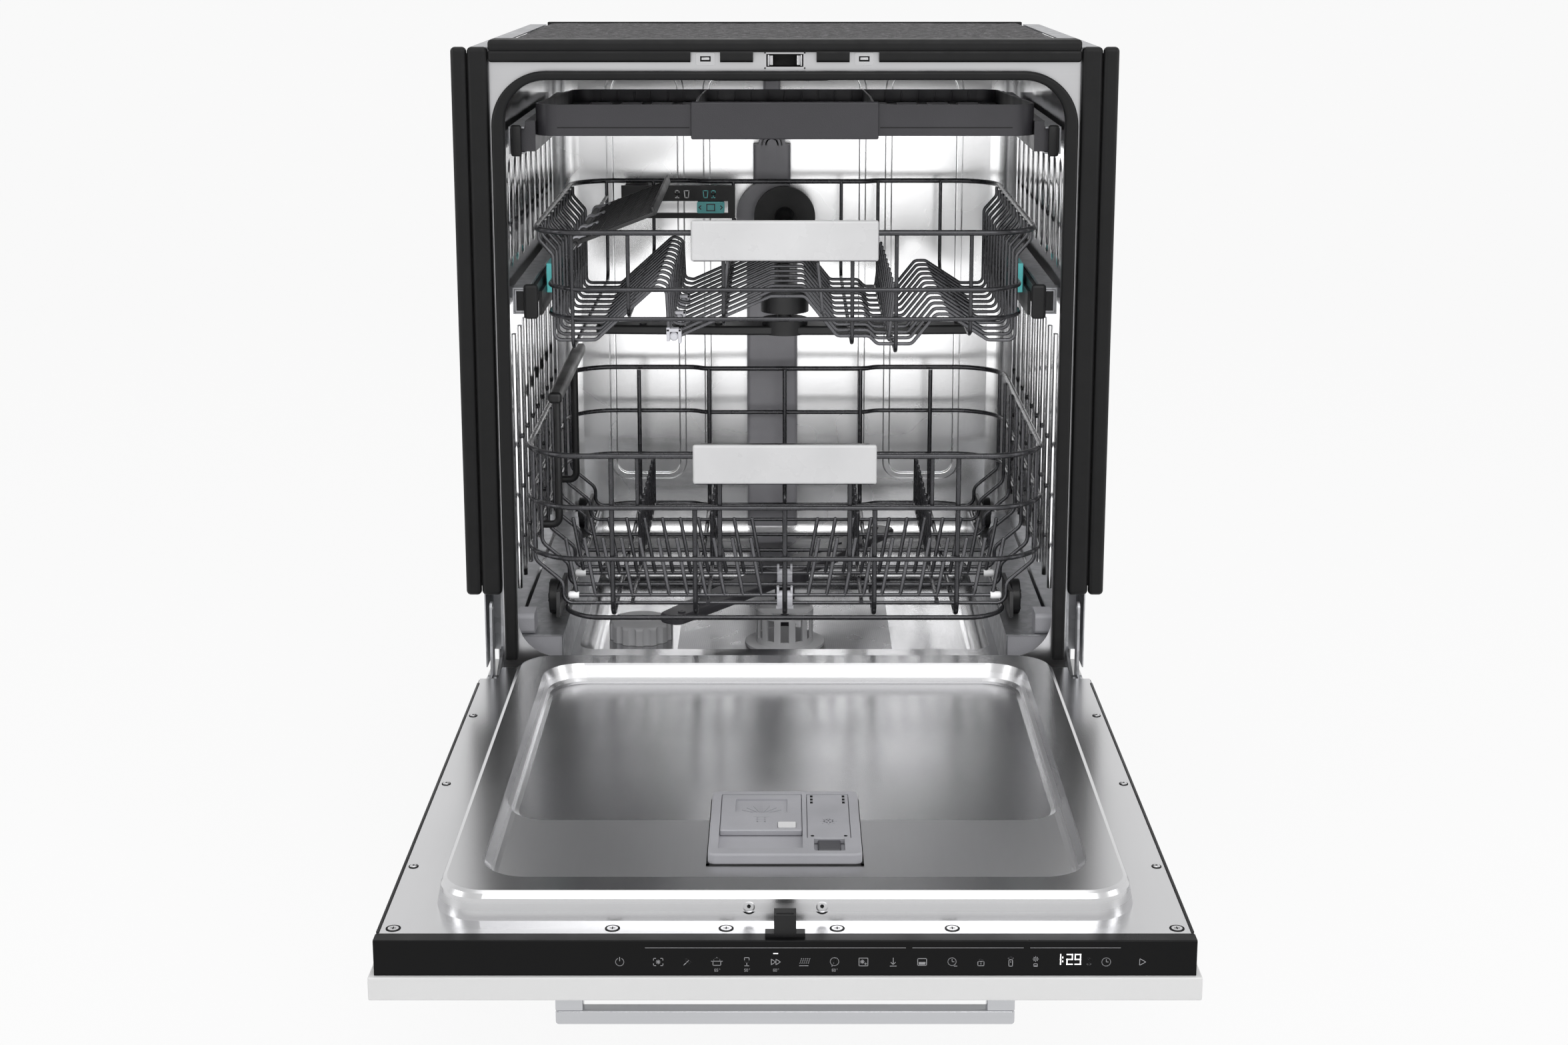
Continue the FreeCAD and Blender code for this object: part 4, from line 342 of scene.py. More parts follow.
LOOKS = {
    "steel_polished": polished_steel("steel_polished", (0.92, 0.92, 0.925), 0.12, 0.12),
    "steel_satin": brushed_steel("steel_satin", (0.62, 0.62, 0.63), 0.28),
    "galvanised": galvanised("galvanised", srgb(172, 173, 176)),
    "wire": coated_wire("wire", srgb(66, 66, 69)),
    "black_plastic": plastic("black_plastic", BLACK, 0.42, shine=0.35),
    "grey_plastic": plastic("grey_plastic", GREY, 0.42),
    "light_grey_plastic": plastic("light_grey_plastic", PALE, 0.4),
    "control_black": plastic("control_black", srgb(8, 8, 9), 0.34, grain=1600.0, depth=0.05, shine=0.16),
    "teal_plastic": plastic("teal_plastic", srgb(96, 196, 196), 0.34),
    "silver_plastic": plastic("silver_plastic", SILVER, 0.3, depth=0.08, spread=0.03),
    "black_rubber": rubber("black_rubber", srgb(13, 13, 14), 0.5),
    "felt": felt_cloth("felt"),
    "white_board": lacquer("white_board", srgb(230, 230, 230)),
    "aluminium": brushed_steel("aluminium", srgb(197, 198, 201), 0.24),
    "circuit": plastic("circuit", srgb(34, 92, 52), 0.45),
    "motor": plastic("motor", srgb(120, 122, 125), 0.5),
}
# Near-black material for painted shade in holes, sockets and recesses, and painted shadow round screw heads.
PAINTED_SHADE = plastic("painted_shade_black", srgb(14, 14, 15), 0.6, shine=0.2)
INK = printed("icon_ink", srgb(165, 165, 168))
LIT = printed("lit_segment", (0.95, 0.95, 0.95), 0.7)

slot_of = {row["node"]: row["material_slot"] for row in frame["record"]["subparts"]}


def dress(name, material):
    """Gives a CAD node its material."""
    node = frame["nodes"][name]
    node.data.materials.clear()
    node.data.materials.append(material)


for name in frame["nodes"]:
    dress(name, LOOKS[slot_of[name]])
for name in ("upper_handle", "lower_handle"):
    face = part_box(name)[0].y + 4.2 * MM
    dress(name, split_plastic(name + "_faces", "Y", face, SILVER, BLACK, 0.3))
dress("rinse_lid", split_plastic("rinse_lid_tab", "Y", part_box("rinse_lid")[0].y + 17.8 * MM, DIM, PALE, 0.4))
dress("filter_plate", pierced_steel("filter_mesh", (0.45, 0.45, 0.46), 0.0022))
# The tub floor is darker than the other bright steel: painted shade for the dark racks it reflects.
dress("tub_floor", polished_steel("floor_sheet_painted_shade", (0.6, 0.6, 0.61), 0.2, 0.06))
for name in ("salt_cap", "filter_cup"):
    dress(name, plastic(name + "_plastic", srgb(196, 196, 198), 0.42, spread=0.05))
dress("release_button", LOOKS["silver_plastic"])
dress("tub_back", two_faced_steel("tub_back_sheet", (0.95, 0.95, 0.955), (0.42, 0.42, 0.43),
                                  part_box("tub_back")[1].y))
dress("tub_flange", brushed_steel("flange_sheet", (0.6, 0.6, 0.61), 0.3))
dress("door_liner", pressed_liner("liner_sheet", (0.65, 0.65, 0.66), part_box("door_liner")[1].z - 11.0 * MM))
DUCT = plastic("duct_plastic", srgb(156, 155, 160), 0.42)
dress("spray_duct", DUCT)


# Shapes

def tube_faces(rows, sides):
    """Faces of a closed tube of rings, with both ends capped."""
    faces = [tuple(range(sides))[::-1], tuple(range((rows - 1) * sides, rows * sides))]
    for i in range(rows - 1):
        for k in range(sides):
            after = (k + 1) % sides
            faces.append((i * sides + k, i * sides + after, (i + 1) * sides + after, (i + 1) * sides + k))
    return faces


def smooth_object(name, verts, faces, material):
    """New smooth-shaded object in the scene."""
    mesh = bpy.data.meshes.new(name)
    mesh.from_pydata(verts, [], faces)
    mesh.polygons.foreach_set("use_smooth", [True] * len(mesh.polygons))
    mesh.materials.append(material)
    made = bpy.data.objects.new(name, mesh)
    scene.collection.objects.link(made)
    return made


class Form:
    """Collects the faces of one piece."""

    def __init__(self):
        self.verts = []
        self.faces = []

    def add(self, verts, faces):
        """Adds a shell from its corners and the loops of its faces."""
        start = len(self.verts)
        self.verts += [Vector(v) for v in verts]
        self.faces += [[start + i for i in face] for face in faces]

    def turned(self, profile, place, direction, sides=20, hollow=False):
        """Turned form from pairs of radius and height; a hollow one closes on itself."""
        axis = Vector(direction).normalized()
        side = axis.orthogonal().normalized()
        across = axis.cross(side)
        verts = []
        for radius, height in profile:
            for k in range(sides):
                angle = 2 * math.pi * k / sides
                reach = side * math.cos(angle) + across * math.sin(angle)
                verts.append(place + axis * height * MM + reach * radius * MM)
        count = len(profile)
        faces = tube_faces(count, sides)
        if hollow:
            last = (count - 1) * sides
            faces = faces[2:] + [(last + k, last + (k + 1) % sides, (k + 1) % sides, k) for k in range(sides)]
        self.add(verts, faces)

    def block(self, low, high, edge):
        """Block between two corners with rounded edges."""
        made = bmesh.new()
        bmesh.ops.create_cube(made, size=1.0)
        middle = (low + high) / 2
        size = high - low
        for vert in made.verts:
            vert.co = Vector([m + c * s for m, c, s in zip(middle, vert.co, size)])
        bmesh.ops.bevel(made, geom=made.edges[:], offset=edge * MM, segments=3, profile=0.5, affect="EDGES")
        made.verts.index_update()
        self.add([v.co for v in made.verts], [[v.index for v in f.verts] for f in made.faces])
        made.free()

    def ridge(self, start, end, width, outward, height, sides=8):
        """Half-round bead along a surface, raised outward, that runs out at both ends."""
        along = (end - start).normalized()
        out = Vector(outward).normalized()
        over = out.cross(along)
        reach = (end - start).length / MM
        rows = ((0.0, 0.15), (width * 0.25, 0.7), (width * 0.7, 1.0))
        rows += tuple((reach - at, share) for at, share in rows[::-1])
        verts = []
        for at, share in rows:
            for k in range(sides + 1):
                angle = math.pi * k / sides
                rise = (height * share * math.sin(angle) - 0.2) * MM
                aside = width / 2 * share * math.cos(angle) * MM
                verts.append(start + along * at * MM + over * aside + out * rise)
        self.add(verts, tube_faces(len(rows), sides + 1))

    def stroke(self, points, width, plane, lift):
        """Raised line along points of a plane, given by its origin, right and up directions."""
        origin, right, up = plane
        rise = right.cross(up) * lift * MM
        for start, end in zip(points, points[1:]):
            a, b = Vector(start), Vector(end)
            along = (b - a).normalized() * width / 2
            over = Vector((-along.y, along.x))
            corners = (a - along - over, b + along - over, b + along + over, a - along + over)
            foot = [origin + right * c.x * MM + up * c.y * MM for c in corners]
            self.add(foot + [p + rise for p in foot],
                     [(3, 2, 1, 0), (4, 5, 6, 7), (0, 1, 5, 4), (1, 2, 6, 5), (2, 3, 7, 6), (3, 0, 4, 7)])

    def drawing(self, strokes, width, plane, lift, size=1.0):
        """Raised lines of a pictogram, scaled about its centre."""
        for points in strokes:
            self.stroke([(u * size, v * size) for u, v in points], width, plane, lift)

    def piece(self, name, body, slot, material=None, sharp=38.0):
        """Makes the piece with the given material or the look of its material slot, and ties it to its body.
        """
        made = smooth_object(name, self.verts, self.faces, material or LOOKS[slot])
        made.data.set_sharp_from_angle(angle=math.radians(sharp))
        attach(made, body)
        return made


def arc(x, y, radius, start, end, steps=14):
    """Points of an arc between two angles in degrees."""
    turns = [math.radians(start + (end - start) * k / steps) for k in range(steps + 1)]
    return [(x + radius * math.cos(t), y + radius * math.sin(t)) for t in turns]


def ring(x, y, radius, steps=18):
    """Points of a full circle."""
    return arc(x, y, radius, 0, 360, steps)


def frame_box(x, y, width, height):
    """Outline of a rectangle centred on a point."""
    a, b = width / 2, height / 2
    return [(x - a, y - b), (x + a, y - b), (x + a, y + b), (x - a, y + b), (x - a, y - b)]


def star(x, y, radius, rays=4):
    """Lines that cross at a point."""
    strokes = []
    for k in range(rays):
        t = math.pi * k / rays
        strokes.append([(x - radius * math.cos(t), y - radius * math.sin(t)),
                        (x + radius * math.cos(t), y + radius * math.sin(t))])
    return strokes


# The two ends of each segment, and the segments of each figure.
SEGMENTS = {"a": ((0, 2), (1, 2)), "b": ((1, 2), (1, 1)), "c": ((1, 1), (1, 0)), "d": ((0, 0), (1, 0)),
            "e": ((0, 1), (0, 0)), "f": ((0, 2), (0, 1)), "g": ((0, 1), (1, 1))}
DIGITS = {"0": "abcdef", "1": "bc", "2": "abged", "5": "afgcd", "6": "afgedc", "9": "abcdfg"}


def number(text, x, height):
    """Strokes of plain segment figures centred on a place."""
    unit = height / 2
    step = unit * 1.55
    left = x - (len(text) * step - 0.55 * unit) / 2
    strokes = []
    for k, figure in enumerate(text):
        for segment in DIGITS[figure]:
            strokes.append([(left + k * step + u * unit, (v - 1) * unit) for u, v in SEGMENTS[segment]])
    return strokes


# Control strip

def icons():
    """Strokes of each pictogram, with its place along the strip."""
    power = [arc(0, 0, 3.0, 120, 420), [(0, 0.8), (0, 3.6)]]
    corners = [[(s * 3.4, t * 1.4), (s * 3.4, t * 2.8), (s * 1.8, t * 2.8)] for s in (-1, 1) for t in (-1, 1)]
    auto = corners + star(0, 0, 1.5)
    leaf = [arc(-1.2, -1.2, 3.6, 0, 90), arc(2.4, 2.4, 3.6, 180, 270), [(-2.4, -2.4), (1.2, 1.2)]]
    pot = [[(-2.8, 0.6), (-2.8, -2.6), (2.8, -2.6), (2.8, 0.6)], [(-4.0, 0.6), (4.0, 0.6)],
           arc(0, 0.6, 2.4, 20, 160), [(0, 3.0), (0, 3.6)]]
    glass = [[(-1.7, 3.4), (-1.7, 1.2)] + arc(0, 1.2, 1.7, 180, 360) + [(1.7, 3.4), (-1.7, 3.4)],
             [(0, -0.5), (0, -3.0)], [(-1.5, -3.0), (1.5, -3.0)]]
    fast = [[(-3.2, -2.2), (-3.2, 2.2), (0, 0), (-3.2, -2.2)],
            [(0.2, -2.2), (0.2, 2.2), (3.4, 0), (0.2, -2.2)]]
    shower = [[(-2.6 + k * 1.5 - r * 0.5, 2.2 - r * 1.6), (-2.2 + k * 1.5 - r * 0.5, 2.6 - r * 1.6)]
              for k in range(5) for r in range(3)] + [[(-3.8, -2.9), (2.4, -2.9)]]
    night = [ring(0, 0.3, 3.1), arc(-1.4, 1.4, 2.4, -70, 40), [(-1.8, -2.2), (-1.8, -3.4)]]
    sparkle = [frame_box(0, 0, 6.4, 6.0)] + star(-0.8, 0.2, 1.4) + star(1.6, -1.4, 0.7, 2)
    dry = [[(0, 3.0), (0, -1.8)], [(-1.6, -0.4), (0, -2.0), (1.6, -0.4)], [(-2.2, -3.2), (2.2, -3.2)]]
    half = [frame_box(0, 0, 6.4, 5.2)] + [[(-2.2, -1.8 + k * 0.5), (2.2, -1.8 + k * 0.5)] for k in range(4)]
    later = [ring(0, 0.2, 3.0), [(0, 2.0), (0, 0.2), (1.4, 0.2)], [(1.6, -3.2), (3.6, -3.2)]]
    lock = [frame_box(0, -1.2, 4.4, 3.4), arc(0, 0.5, 1.5, 0, 180), [(0, -0.8), (0, -1.8)]]
    remote = [frame_box(0, -0.8, 2.6, 5.0), arc(0, 1.6, 1.4, 35, 145), arc(0, 1.6, 2.3, 35, 145),
              [(0, -0.2), (0, 0.2)]]
    clock = [ring(0, 0, 3.2), [(0, 1.8), (0, 0), (1.4, 0)]]
    start = [[(-1.8, -2.6), (-1.8, 2.6), (2.6, 0), (-1.8, -2.6)]]
    sun = [ring(0, 2.3, 0.8, 10)] + star(0, 2.3, 1.9)
    sun += [frame_box(0, -2.2, 2.6, 1.6), [(-1.3, -3.4), (1.3, -3.4)]]
    signal = [arc(0, -3.0, 0.9, 45, 135, 6), arc(0, -3.0, 1.9, 45, 135, 8), arc(-0.8, 1.4, 1.8, 0, 90, 8),
              arc(1.0, 3.2, 1.8, 180, 270, 8)]
    return ((power, -119.5), (auto, -91.7), (leaf, -70.8), (pot, -49.3), (glass, -27.7), (fast, -6.8),
            (shower, 14.2), (night, 35.7), (sparkle, 56.6), (dry, 78.1), (half, 99.0), (later, 120.6),
            (lock, 141.5), (remote, 163.0), (sun, 181.0), (signal, 219.6), (clock, 232.0), (start, 258.0))


STRIP_LINE = 231.5
FIGURE_DROP = 6.4
GROUP_RISE = 11.0
CLOCK_RISE = 2.0
CLOCK_X = 205.5
CLOCK_WIDTH, CLOCK_HEIGHT = 0.85, 7.6
MARK_RISE = 6.6
ICON_WIDTH = 0.42
FIGURE_WIDTH, FIGURE_HEIGHT = 0.3, 1.9
INK_LIFT = 0.08
LIT_LIFT = 0.1
TEMPERATURES = (("65", -49.3), ("50", -27.7), ("60", -6.8), ("60", 35.7))
GROUPS = ((-101.0, 87.0), (92.0, 172.0), (177.0, 242.0))


def build_controls():
    """Printed pictograms, temperatures and group lines of the strip, and its lit clock."""
    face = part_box("control_panel")[0].y
    line = STRIP_LINE * MM

    def plane(x, z):
        return Vector((x * MM, face, z)), RIGHT, UP

    ink = Form()
    for strokes, x in icons():
        ink.drawing(strokes, ICON_WIDTH, plane(x, line), INK_LIFT)
    below = plane(0.0, line - FIGURE_DROP * MM)
    for text, x in TEMPERATURES:
        ink.drawing(number(text, x - 0.5, FIGURE_HEIGHT), FIGURE_WIDTH, below, INK_LIFT)
        ink.drawing([ring(x + 1.9, 0.8, 0.4, 8)], 0.24, below, INK_LIFT)
    for x0, x1 in GROUPS:
        ink.stroke([(x0, 0), (x1, 0)], FIGURE_WIDTH, plane(0.0, line + GROUP_RISE * MM), INK_LIFT)
    ink.piece("control_icons", "door", "control_black", INK)
    lit = Form()
    place = plane(CLOCK_X, line + CLOCK_RISE * MM)
    for text, x in (("1", -8.4), ("29", 3.0)):
        lit.drawing(number(text, x, CLOCK_HEIGHT), CLOCK_WIDTH, place, LIT_LIFT)
    for v in (-1.5, 1.5):
        lit.stroke([(-5.0, v - 0.2), (-5.0, v + 0.2)], 0.9, place, LIT_LIFT)
    lit.stroke([(-8.2, 0), (-5.4, 0)], 0.7, plane(0.0, line + MARK_RISE * MM), LIT_LIFT)
    lit.piece("clock_figures", "door", "control_black", LIT)


# Door fittings

# Profiles of a screw: radius as a share of the head's, and height in millimetres. The ring round its foot is
# painted shadow, and its socket painted shade.
SCREW_SHADOW_RING = ((0.7, -0.4), (1.3, -0.4), (1.3, 0.35), (0.7, 0.35))
SCREW_HEAD = ((0.9, -0.3), (1.0, 0.3), (1.0, 0.6), (0.85, 1.0), (0.6, 1.15))
SCREW_SOCKET = ((0.34, -0.2), (0.34, 0.1))


def screw(form, dark, place, direction, radius):
    """Domed head with its socket painted dark as shade, in a ring of painted shadow round its foot."""
    shadow_ring, head, socket = ([(radius * share, z) for share, z in profile]
                          for profile in (SCREW_SHADOW_RING, SCREW_HEAD, SCREW_SOCKET))
    dark.turned(shadow_ring, place, direction, 24, True)
    form.turned(head, place, direction, 24)
    top = place + Vector(direction).normalized() * head[-1][1] * MM
    dark.turned(socket, top, direction, 6)


PAN_SCREWS = (-26.6, 27.2)
PAN_DEPTH, PAN_HEIGHT, PAN_RADIUS = -1.5, 814.2, 4.6
PAN_SLOPE = Vector((0, -0.96, 0.27))
EDGE_X, EDGE_RADIUS = 289.0, 3.0
EDGE_ROWS = (-167.5, -337.5, -510.5)
FLANGE_SCREWS = (-286.0, -126.0, -43.0, 38.0, 122.0, 286.0)
FLANGE_SHADOW_RING = ((3.6, -0.2), (5.6, -0.2), (5.6, 0.25), (3.6, 0.25))
CROSS = (((-1.7, 0), (1.7, 0)), ((0, -1.7), (0, 1.7)))
SHADE_LIFT = 0.06
STRIKE_RIBS = [1.6 + 2.2 * k for k in range(3)]


def build_door_fittings():
    """Screw heads of the liner, painted shade in the screw recesses and painted shadow round the screw heads,
    strike ribs and black edge trims.
    """
    heads = Form()
    # Near-black marks: painted shade in sockets and crosses, and painted shadow rings round the heads.
    dark = Form()
    for x in PAN_SCREWS:
        screw(heads, dark, door_spot(x, PAN_DEPTH, PAN_HEIGHT), PAN_SLOPE, PAN_RADIUS)
    for x in (-EDGE_X, EDGE_X):
        for y in EDGE_ROWS:
            screw(heads, dark, spot(x, y, LINER_TOP), UP, EDGE_RADIUS)
    heads.piece("liner_screws", "door", "steel_satin")
    low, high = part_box("door_screws")
    # The dark crosses on the flange screws are painted shade, and the dark rings round them are painted
    # shadow.
    for x in FLANGE_SCREWS:
        place = Vector((x * MM, (low.y + high.y) / 2, high.z))
        dark.drawing(CROSS, 0.8, (place, RIGHT, BACK), SHADE_LIFT)
        shadow_ring = Vector((place.x, place.y, LINER_TOP * MM))
        dark.turned(FLANGE_SHADOW_RING, shadow_ring, UP, 24, True)
    dark.piece("screw_painted_shade", "door", "black_plastic", PAINTED_SHADE)
    low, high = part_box("door_strike")
    grip = Form()
    for y in STRIKE_RIBS:
        place = Vector((0, low.y + y * MM, high.z - 2.2 * MM))
        grip.stroke([(-6.0, 0), (6.0, 0)], 0.7, (place, RIGHT, BACK), 0.5)
    grip.piece("strike_ribs", "door", "black_plastic")
    low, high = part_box("door_shell")
    edges = Form()
    for side in (-1, 1):
        inner, outer = sorted(side * (high.x - inset * MM) for inset in (2.4, 0.1))
        edges.block(Vector((inner, low.y + 1.0 * MM, high.z + 1.15 * MM)),
                    Vector((outer, high.y - 48.0 * MM, high.z + 1.9 * MM)), 0.3)
    edges.piece("door_edge_trims", "door", "black_plastic")


# Rows count from the far edge of each lid.
LID_X = -19.0
POCKET_ROW, POCKET_DEPTH = 36.0, 1.75
RAY_TURN = 21
LID_MARK_ROW = 53.0
FLOWER_X, FLOWER_ROW = 34.5, 56.0
SLOT_COLUMNS = (21.5, 47.5)
SLOT_ROWS = (4.0, 10.5, 17.0)
DOT_ROW = 85.5
SEAL_HALF = 59.5
SEAL_LOW, SEAL_HIGH = 609.0, 739.0


def build_dispenser_marks():
    """Raised marks, slots and a dot painted dark as shade, and the black seal line of the dispenser."""
    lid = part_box("detergent_lid")[1]
    raised = Form()
    pocket = Vector((LID_X * MM, lid.y - POCKET_ROW * MM, lid.z - POCKET_DEPTH * MM))
    for k in range(-3, 4):
        t = math.radians(90 + k * RAY_TURN)
        ray = [(reach * math.cos(t), reach * math.sin(t) - 1.0) for reach in (4.0, 17.0)]
        raised.stroke(ray, 0.9, (pocket, RIGHT, BACK), 0.5)
    mark = Vector((LID_X * MM, lid.y - LID_MARK_ROW * MM, lid.z))
    raised.drawing([frame_box(0, 0, 6.0, 8.0), [(-6.0, 6.0), (6.0, 6.0)], [(-3.0, 0), (3.0, 0)]], 0.7,
                   (mark, RIGHT, BACK), 0.25)
    raised.piece("detergent_lid_marks", "detergent_lid", "light_grey_plastic")
    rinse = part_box("rinse_lid")[1]
    flower = Form()
    middle = Vector((FLOWER_X * MM, rinse.y - FLOWER_ROW * MM, rinse.z))
    flower.drawing(star(0, 0, 6.4) + [arc(0, 0, 3.6, a + 12, a + 33, 4) for a in range(0, 360, 45)], 0.8,
                   (middle, RIGHT, BACK), 0.25)
    flower.piece("rinse_lid_mark", "rinse_lid", "light_grey_plastic")
    # Slots and a dot of the rinse lid drawn as flat near-black marks: painted shade in their openings.
    slots = Form()
    for x in SLOT_COLUMNS:
        for y in SLOT_ROWS:
            place = Vector((x * MM, rinse.y - y * MM, rinse.z))
            slots.stroke([(0, -1.0), (0, 1.0)], 2.2, (place, RIGHT, BACK), SHADE_LIFT)
        place = Vector((x * MM, rinse.y - DOT_ROW * MM, rinse.z))
        slots.turned([(1.5, -0.4), (1.5, SHADE_LIFT)], place, UP, 16)
    slots.piece("rinse_lid_slot_shade", "rinse_lid", "black_plastic", PAINTED_SHADE)
    seal = Form()
    far = door_spot(0, -2.0, SEAL_LOW)
    length = SEAL_HIGH - SEAL_LOW
    outline = [(-SEAL_HALF, 0), (SEAL_HALF, 0), (SEAL_HALF, -length), (-SEAL_HALF, -length), (-SEAL_HALF, 0)]
    seal.stroke(outline, 2.4, (far, RIGHT, BACK), 0.9)
    seal.piece("dispenser_seal", "door", "black_rubber")


# Racks

def build_handle_edges():
    """Black strip of painted shadow along the lower edge of each handle plate."""
    for name, body in (("upper_handle", "upper_rack"), ("lower_handle", "lower_rack")):
        low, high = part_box(name)
        form = Form()
        # A black strip where shadow falls under the handle plate: painted shadow.
        form.block(Vector((low.x + 2 * MM, low.y + 0.6 * MM, low.z + 0.1 * MM)),
                   Vector((high.x - 2 * MM, low.y + 5.4 * MM, low.z + 2.0 * MM)), 0.6)
        form.piece(name + "_painted_shadow", body, "black_plastic")


FOLD_ROWS = {"front_fold": 60.0, "rear_fold": 140.0}
FOLD_HEIGHT = 296.1
FOLD_HALF = 210.0
FOLD_CAP = ((3.4, 0.0), (3.9, 0.8), (3.9, 9.0), (3.2, 10.6), (1.6, 11.4))
FOLD_SLEEVE = ((2.5, -8.0), (4.6, -8.0), (4.6, 8.0), (2.5, 8.0))
CLIP_KNOB = ((2.0, -7.0), (4.2, -6.0), (4.4, 4.0), (3.0, 5.6))
CLIP_ROWS = (54.0, 159.0, 264.0)
CLIP_X = -110.0
CLIP_LOW, CLIP_TOP = 561.0, 574.0


def build_rack_clips():
    """Pale end caps and middle clips of the two folding rows, and clips on the upper floor wires."""
    for body, y in FOLD_ROWS.items():
        z = FOLD_HEIGHT
        caps = Form()
        for side in (-1, 1):
            caps.turned(FOLD_CAP, spot(side * FOLD_HALF, y, z), (side, 0, 0), 18)
        caps.piece(body + "_caps", body, "light_grey_plastic", LOOKS["silver_plastic"])
        clips = Form()
        clips.turned(FOLD_SLEEVE, spot(0, y, z), RIGHT, 18, True)
        for edge in (-5.4, 3.0):
            clips.block(spot(-8.0, y + edge, z - 11.0), spot(8.0, y + edge + 2.4, z - 1.5), 0.6)
        clips.block(spot(-9.0, y - 5.2, z - 14.5), spot(9.0, y + 5.2, z - 10.6), 0.8)
        for x in (-7.0, 7.0):
            clips.block(spot(x - 1.2, y - 4.0, z + 2.0), spot(x + 1.2, y + 4.0, z + 9.0), 0.6)
        clips.piece(body + "_clips", "lower_rack", "light_grey_plastic")
    hooks = Form()
    left, right, wall = CLIP_X - 7.5, CLIP_X + 7.5, 3.5
    for y in CLIP_ROWS:
        front, back = y - 5.0, y + 5.0
        hooks.block(spot(left, front, CLIP_LOW), spot(left + wall, back, CLIP_TOP + 1.0), 0.8)
        hooks.block(spot(left, front, CLIP_TOP - wall), spot(right, back, CLIP_TOP), 0.8)
        hooks.block(spot(right - wall, front, CLIP_LOW - 2.0), spot(right, back, CLIP_TOP), 0.8)
        hooks.turned(CLIP_KNOB, spot(CLIP_X, y, CLIP_LOW + 5.0), (0, -1, 0), 18)
    hooks.piece("upper_floor_clips", "upper_rack", "light_grey_plastic")


HUB_RADIUS, SPOKE_END, SPOKES = 10.0, 15.5, 5
HUB_RING = ((3.6, -0.4), (HUB_RADIUS, -0.4), (HUB_RADIUS, 0.4), (8.6, 0.9), (4.6, 0.9), (3.6, 0.4))


def build_wheels():
    """Raised hub ring and spokes on the outer face of each wheel."""
    for body in ("front_wheels", "rear_wheels"):
        low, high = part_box(body)
        form = Form()
        middle = (low + high) / 2
        for side in (-1, 1):
            place = Vector((side * high.x, middle.y, middle.z))
            form.turned(HUB_RING, place, (side, 0, 0), 28, True)
            plane = (place, BACK * side, UP)
            for k in range(SPOKES):
                t = 2 * math.pi * k / SPOKES
                spoke = [(reach * math.cos(t), reach * math.sin(t)) for reach in (HUB_RADIUS, SPOKE_END)]
                form.stroke(spoke, 2.2, plane, 0.5)
        form.piece(body + "_hubs", body, "black_plastic")


SHELF_PIVOT = (-208.0, 70.0, 656.0)
SHELF_TILT = math.radians(21.0)
SHELF_LENGTH, SHELF_WIDTH = 290.0, 86.0
LENGTH_BARS = (19.0, 33.0, 47.0, 61.0, 73.0)
CROSS_BARS = [14.0 + k * 11.9 for k in range(23)]
NUBS = (13.0, 26.0, 40.0, 54.0, 67.0, 78.0)
COLLARS = (14.0, 96.0, 182.0, 262.0)
COLLAR_LENGTH = 14.0


def shelf_place(u, v, w):
    """Place on the raised cup shelf: out from its hinge, along it, and off its face."""
    x, y, z = SHELF_PIVOT
    return spot(x + u * math.cos(SHELF_TILT) - w * math.sin(SHELF_TILT), y + v,
                z + u * math.sin(SHELF_TILT) + w * math.cos(SHELF_TILT))


def shelf_slab(form, low, high, edge):
    """Rounded block in the axes of the cup shelf."""
    local = Form()
    local.block(Vector(low) * MM, Vector(high) * MM, edge)
    form.add([shelf_place(*(v / MM)) for v in local.verts], local.faces)


def build_cup_shelf():
    """Fine lattice of the cup shelf with its lip and hinge tube, and the pale hinge collars."""
    hinge = spot(*SHELF_PIVOT)
    length, width = SHELF_LENGTH, SHELF_WIDTH
    shelf = Form()
    shelf.turned([(2.3, 0.0), (4.0, 0.0), (4.0, length), (2.3, length)], hinge, BACK, 20, True)
    shelf_slab(shelf, (width - 3.0, 0.0, -2.0), (width, length, 7.0), 0.8)
    shelf_slab(shelf, (3.2, 0.0, -2.0), (7.0, length, 2.0), 0.8)
    for v in (0.0, length - 5.0):
        shelf_slab(shelf, (5.0, v, -2.0), (width - 1.0, v + 5.0, 2.0), 0.8)
    for u in LENGTH_BARS:
        shelf_slab(shelf, (u - 1.1, 2.0, -1.9), (u + 1.1, length - 2.0, 0.8), 0.5)
    for v in CROSS_BARS:
        shelf_slab(shelf, (5.0, v - 1.3, -1.2), (width - 1.0, v + 1.3, 1.8), 0.5)
        for u in NUBS:
            shelf_slab(shelf, (u - 1.6, v - 1.1, 1.2), (u + 1.6, v + 1.1, 3.4), 0.6)
    made = shelf.piece("cup_shelf_lattice", "cup_shelf", slot_of["cup_shelf"])
    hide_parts("cup_shelf")
    collars = Form()
    for v in COLLARS:
        end = v + COLLAR_LENGTH
        collars.turned([(3.6, v), (5.6, v), (5.6, end), (3.6, end)], hinge, BACK, 20, True)
        shelf_slab(collars, (3.0, v + 2.0, 1.6), (17.0, v + 12.0, 3.6), 0.7)
    collars.piece("shelf_hinge_collars", "cup_shelf", "light_grey_plastic")


BRACKET_FACE = 462.0
BRACKET_DROP = 10.0


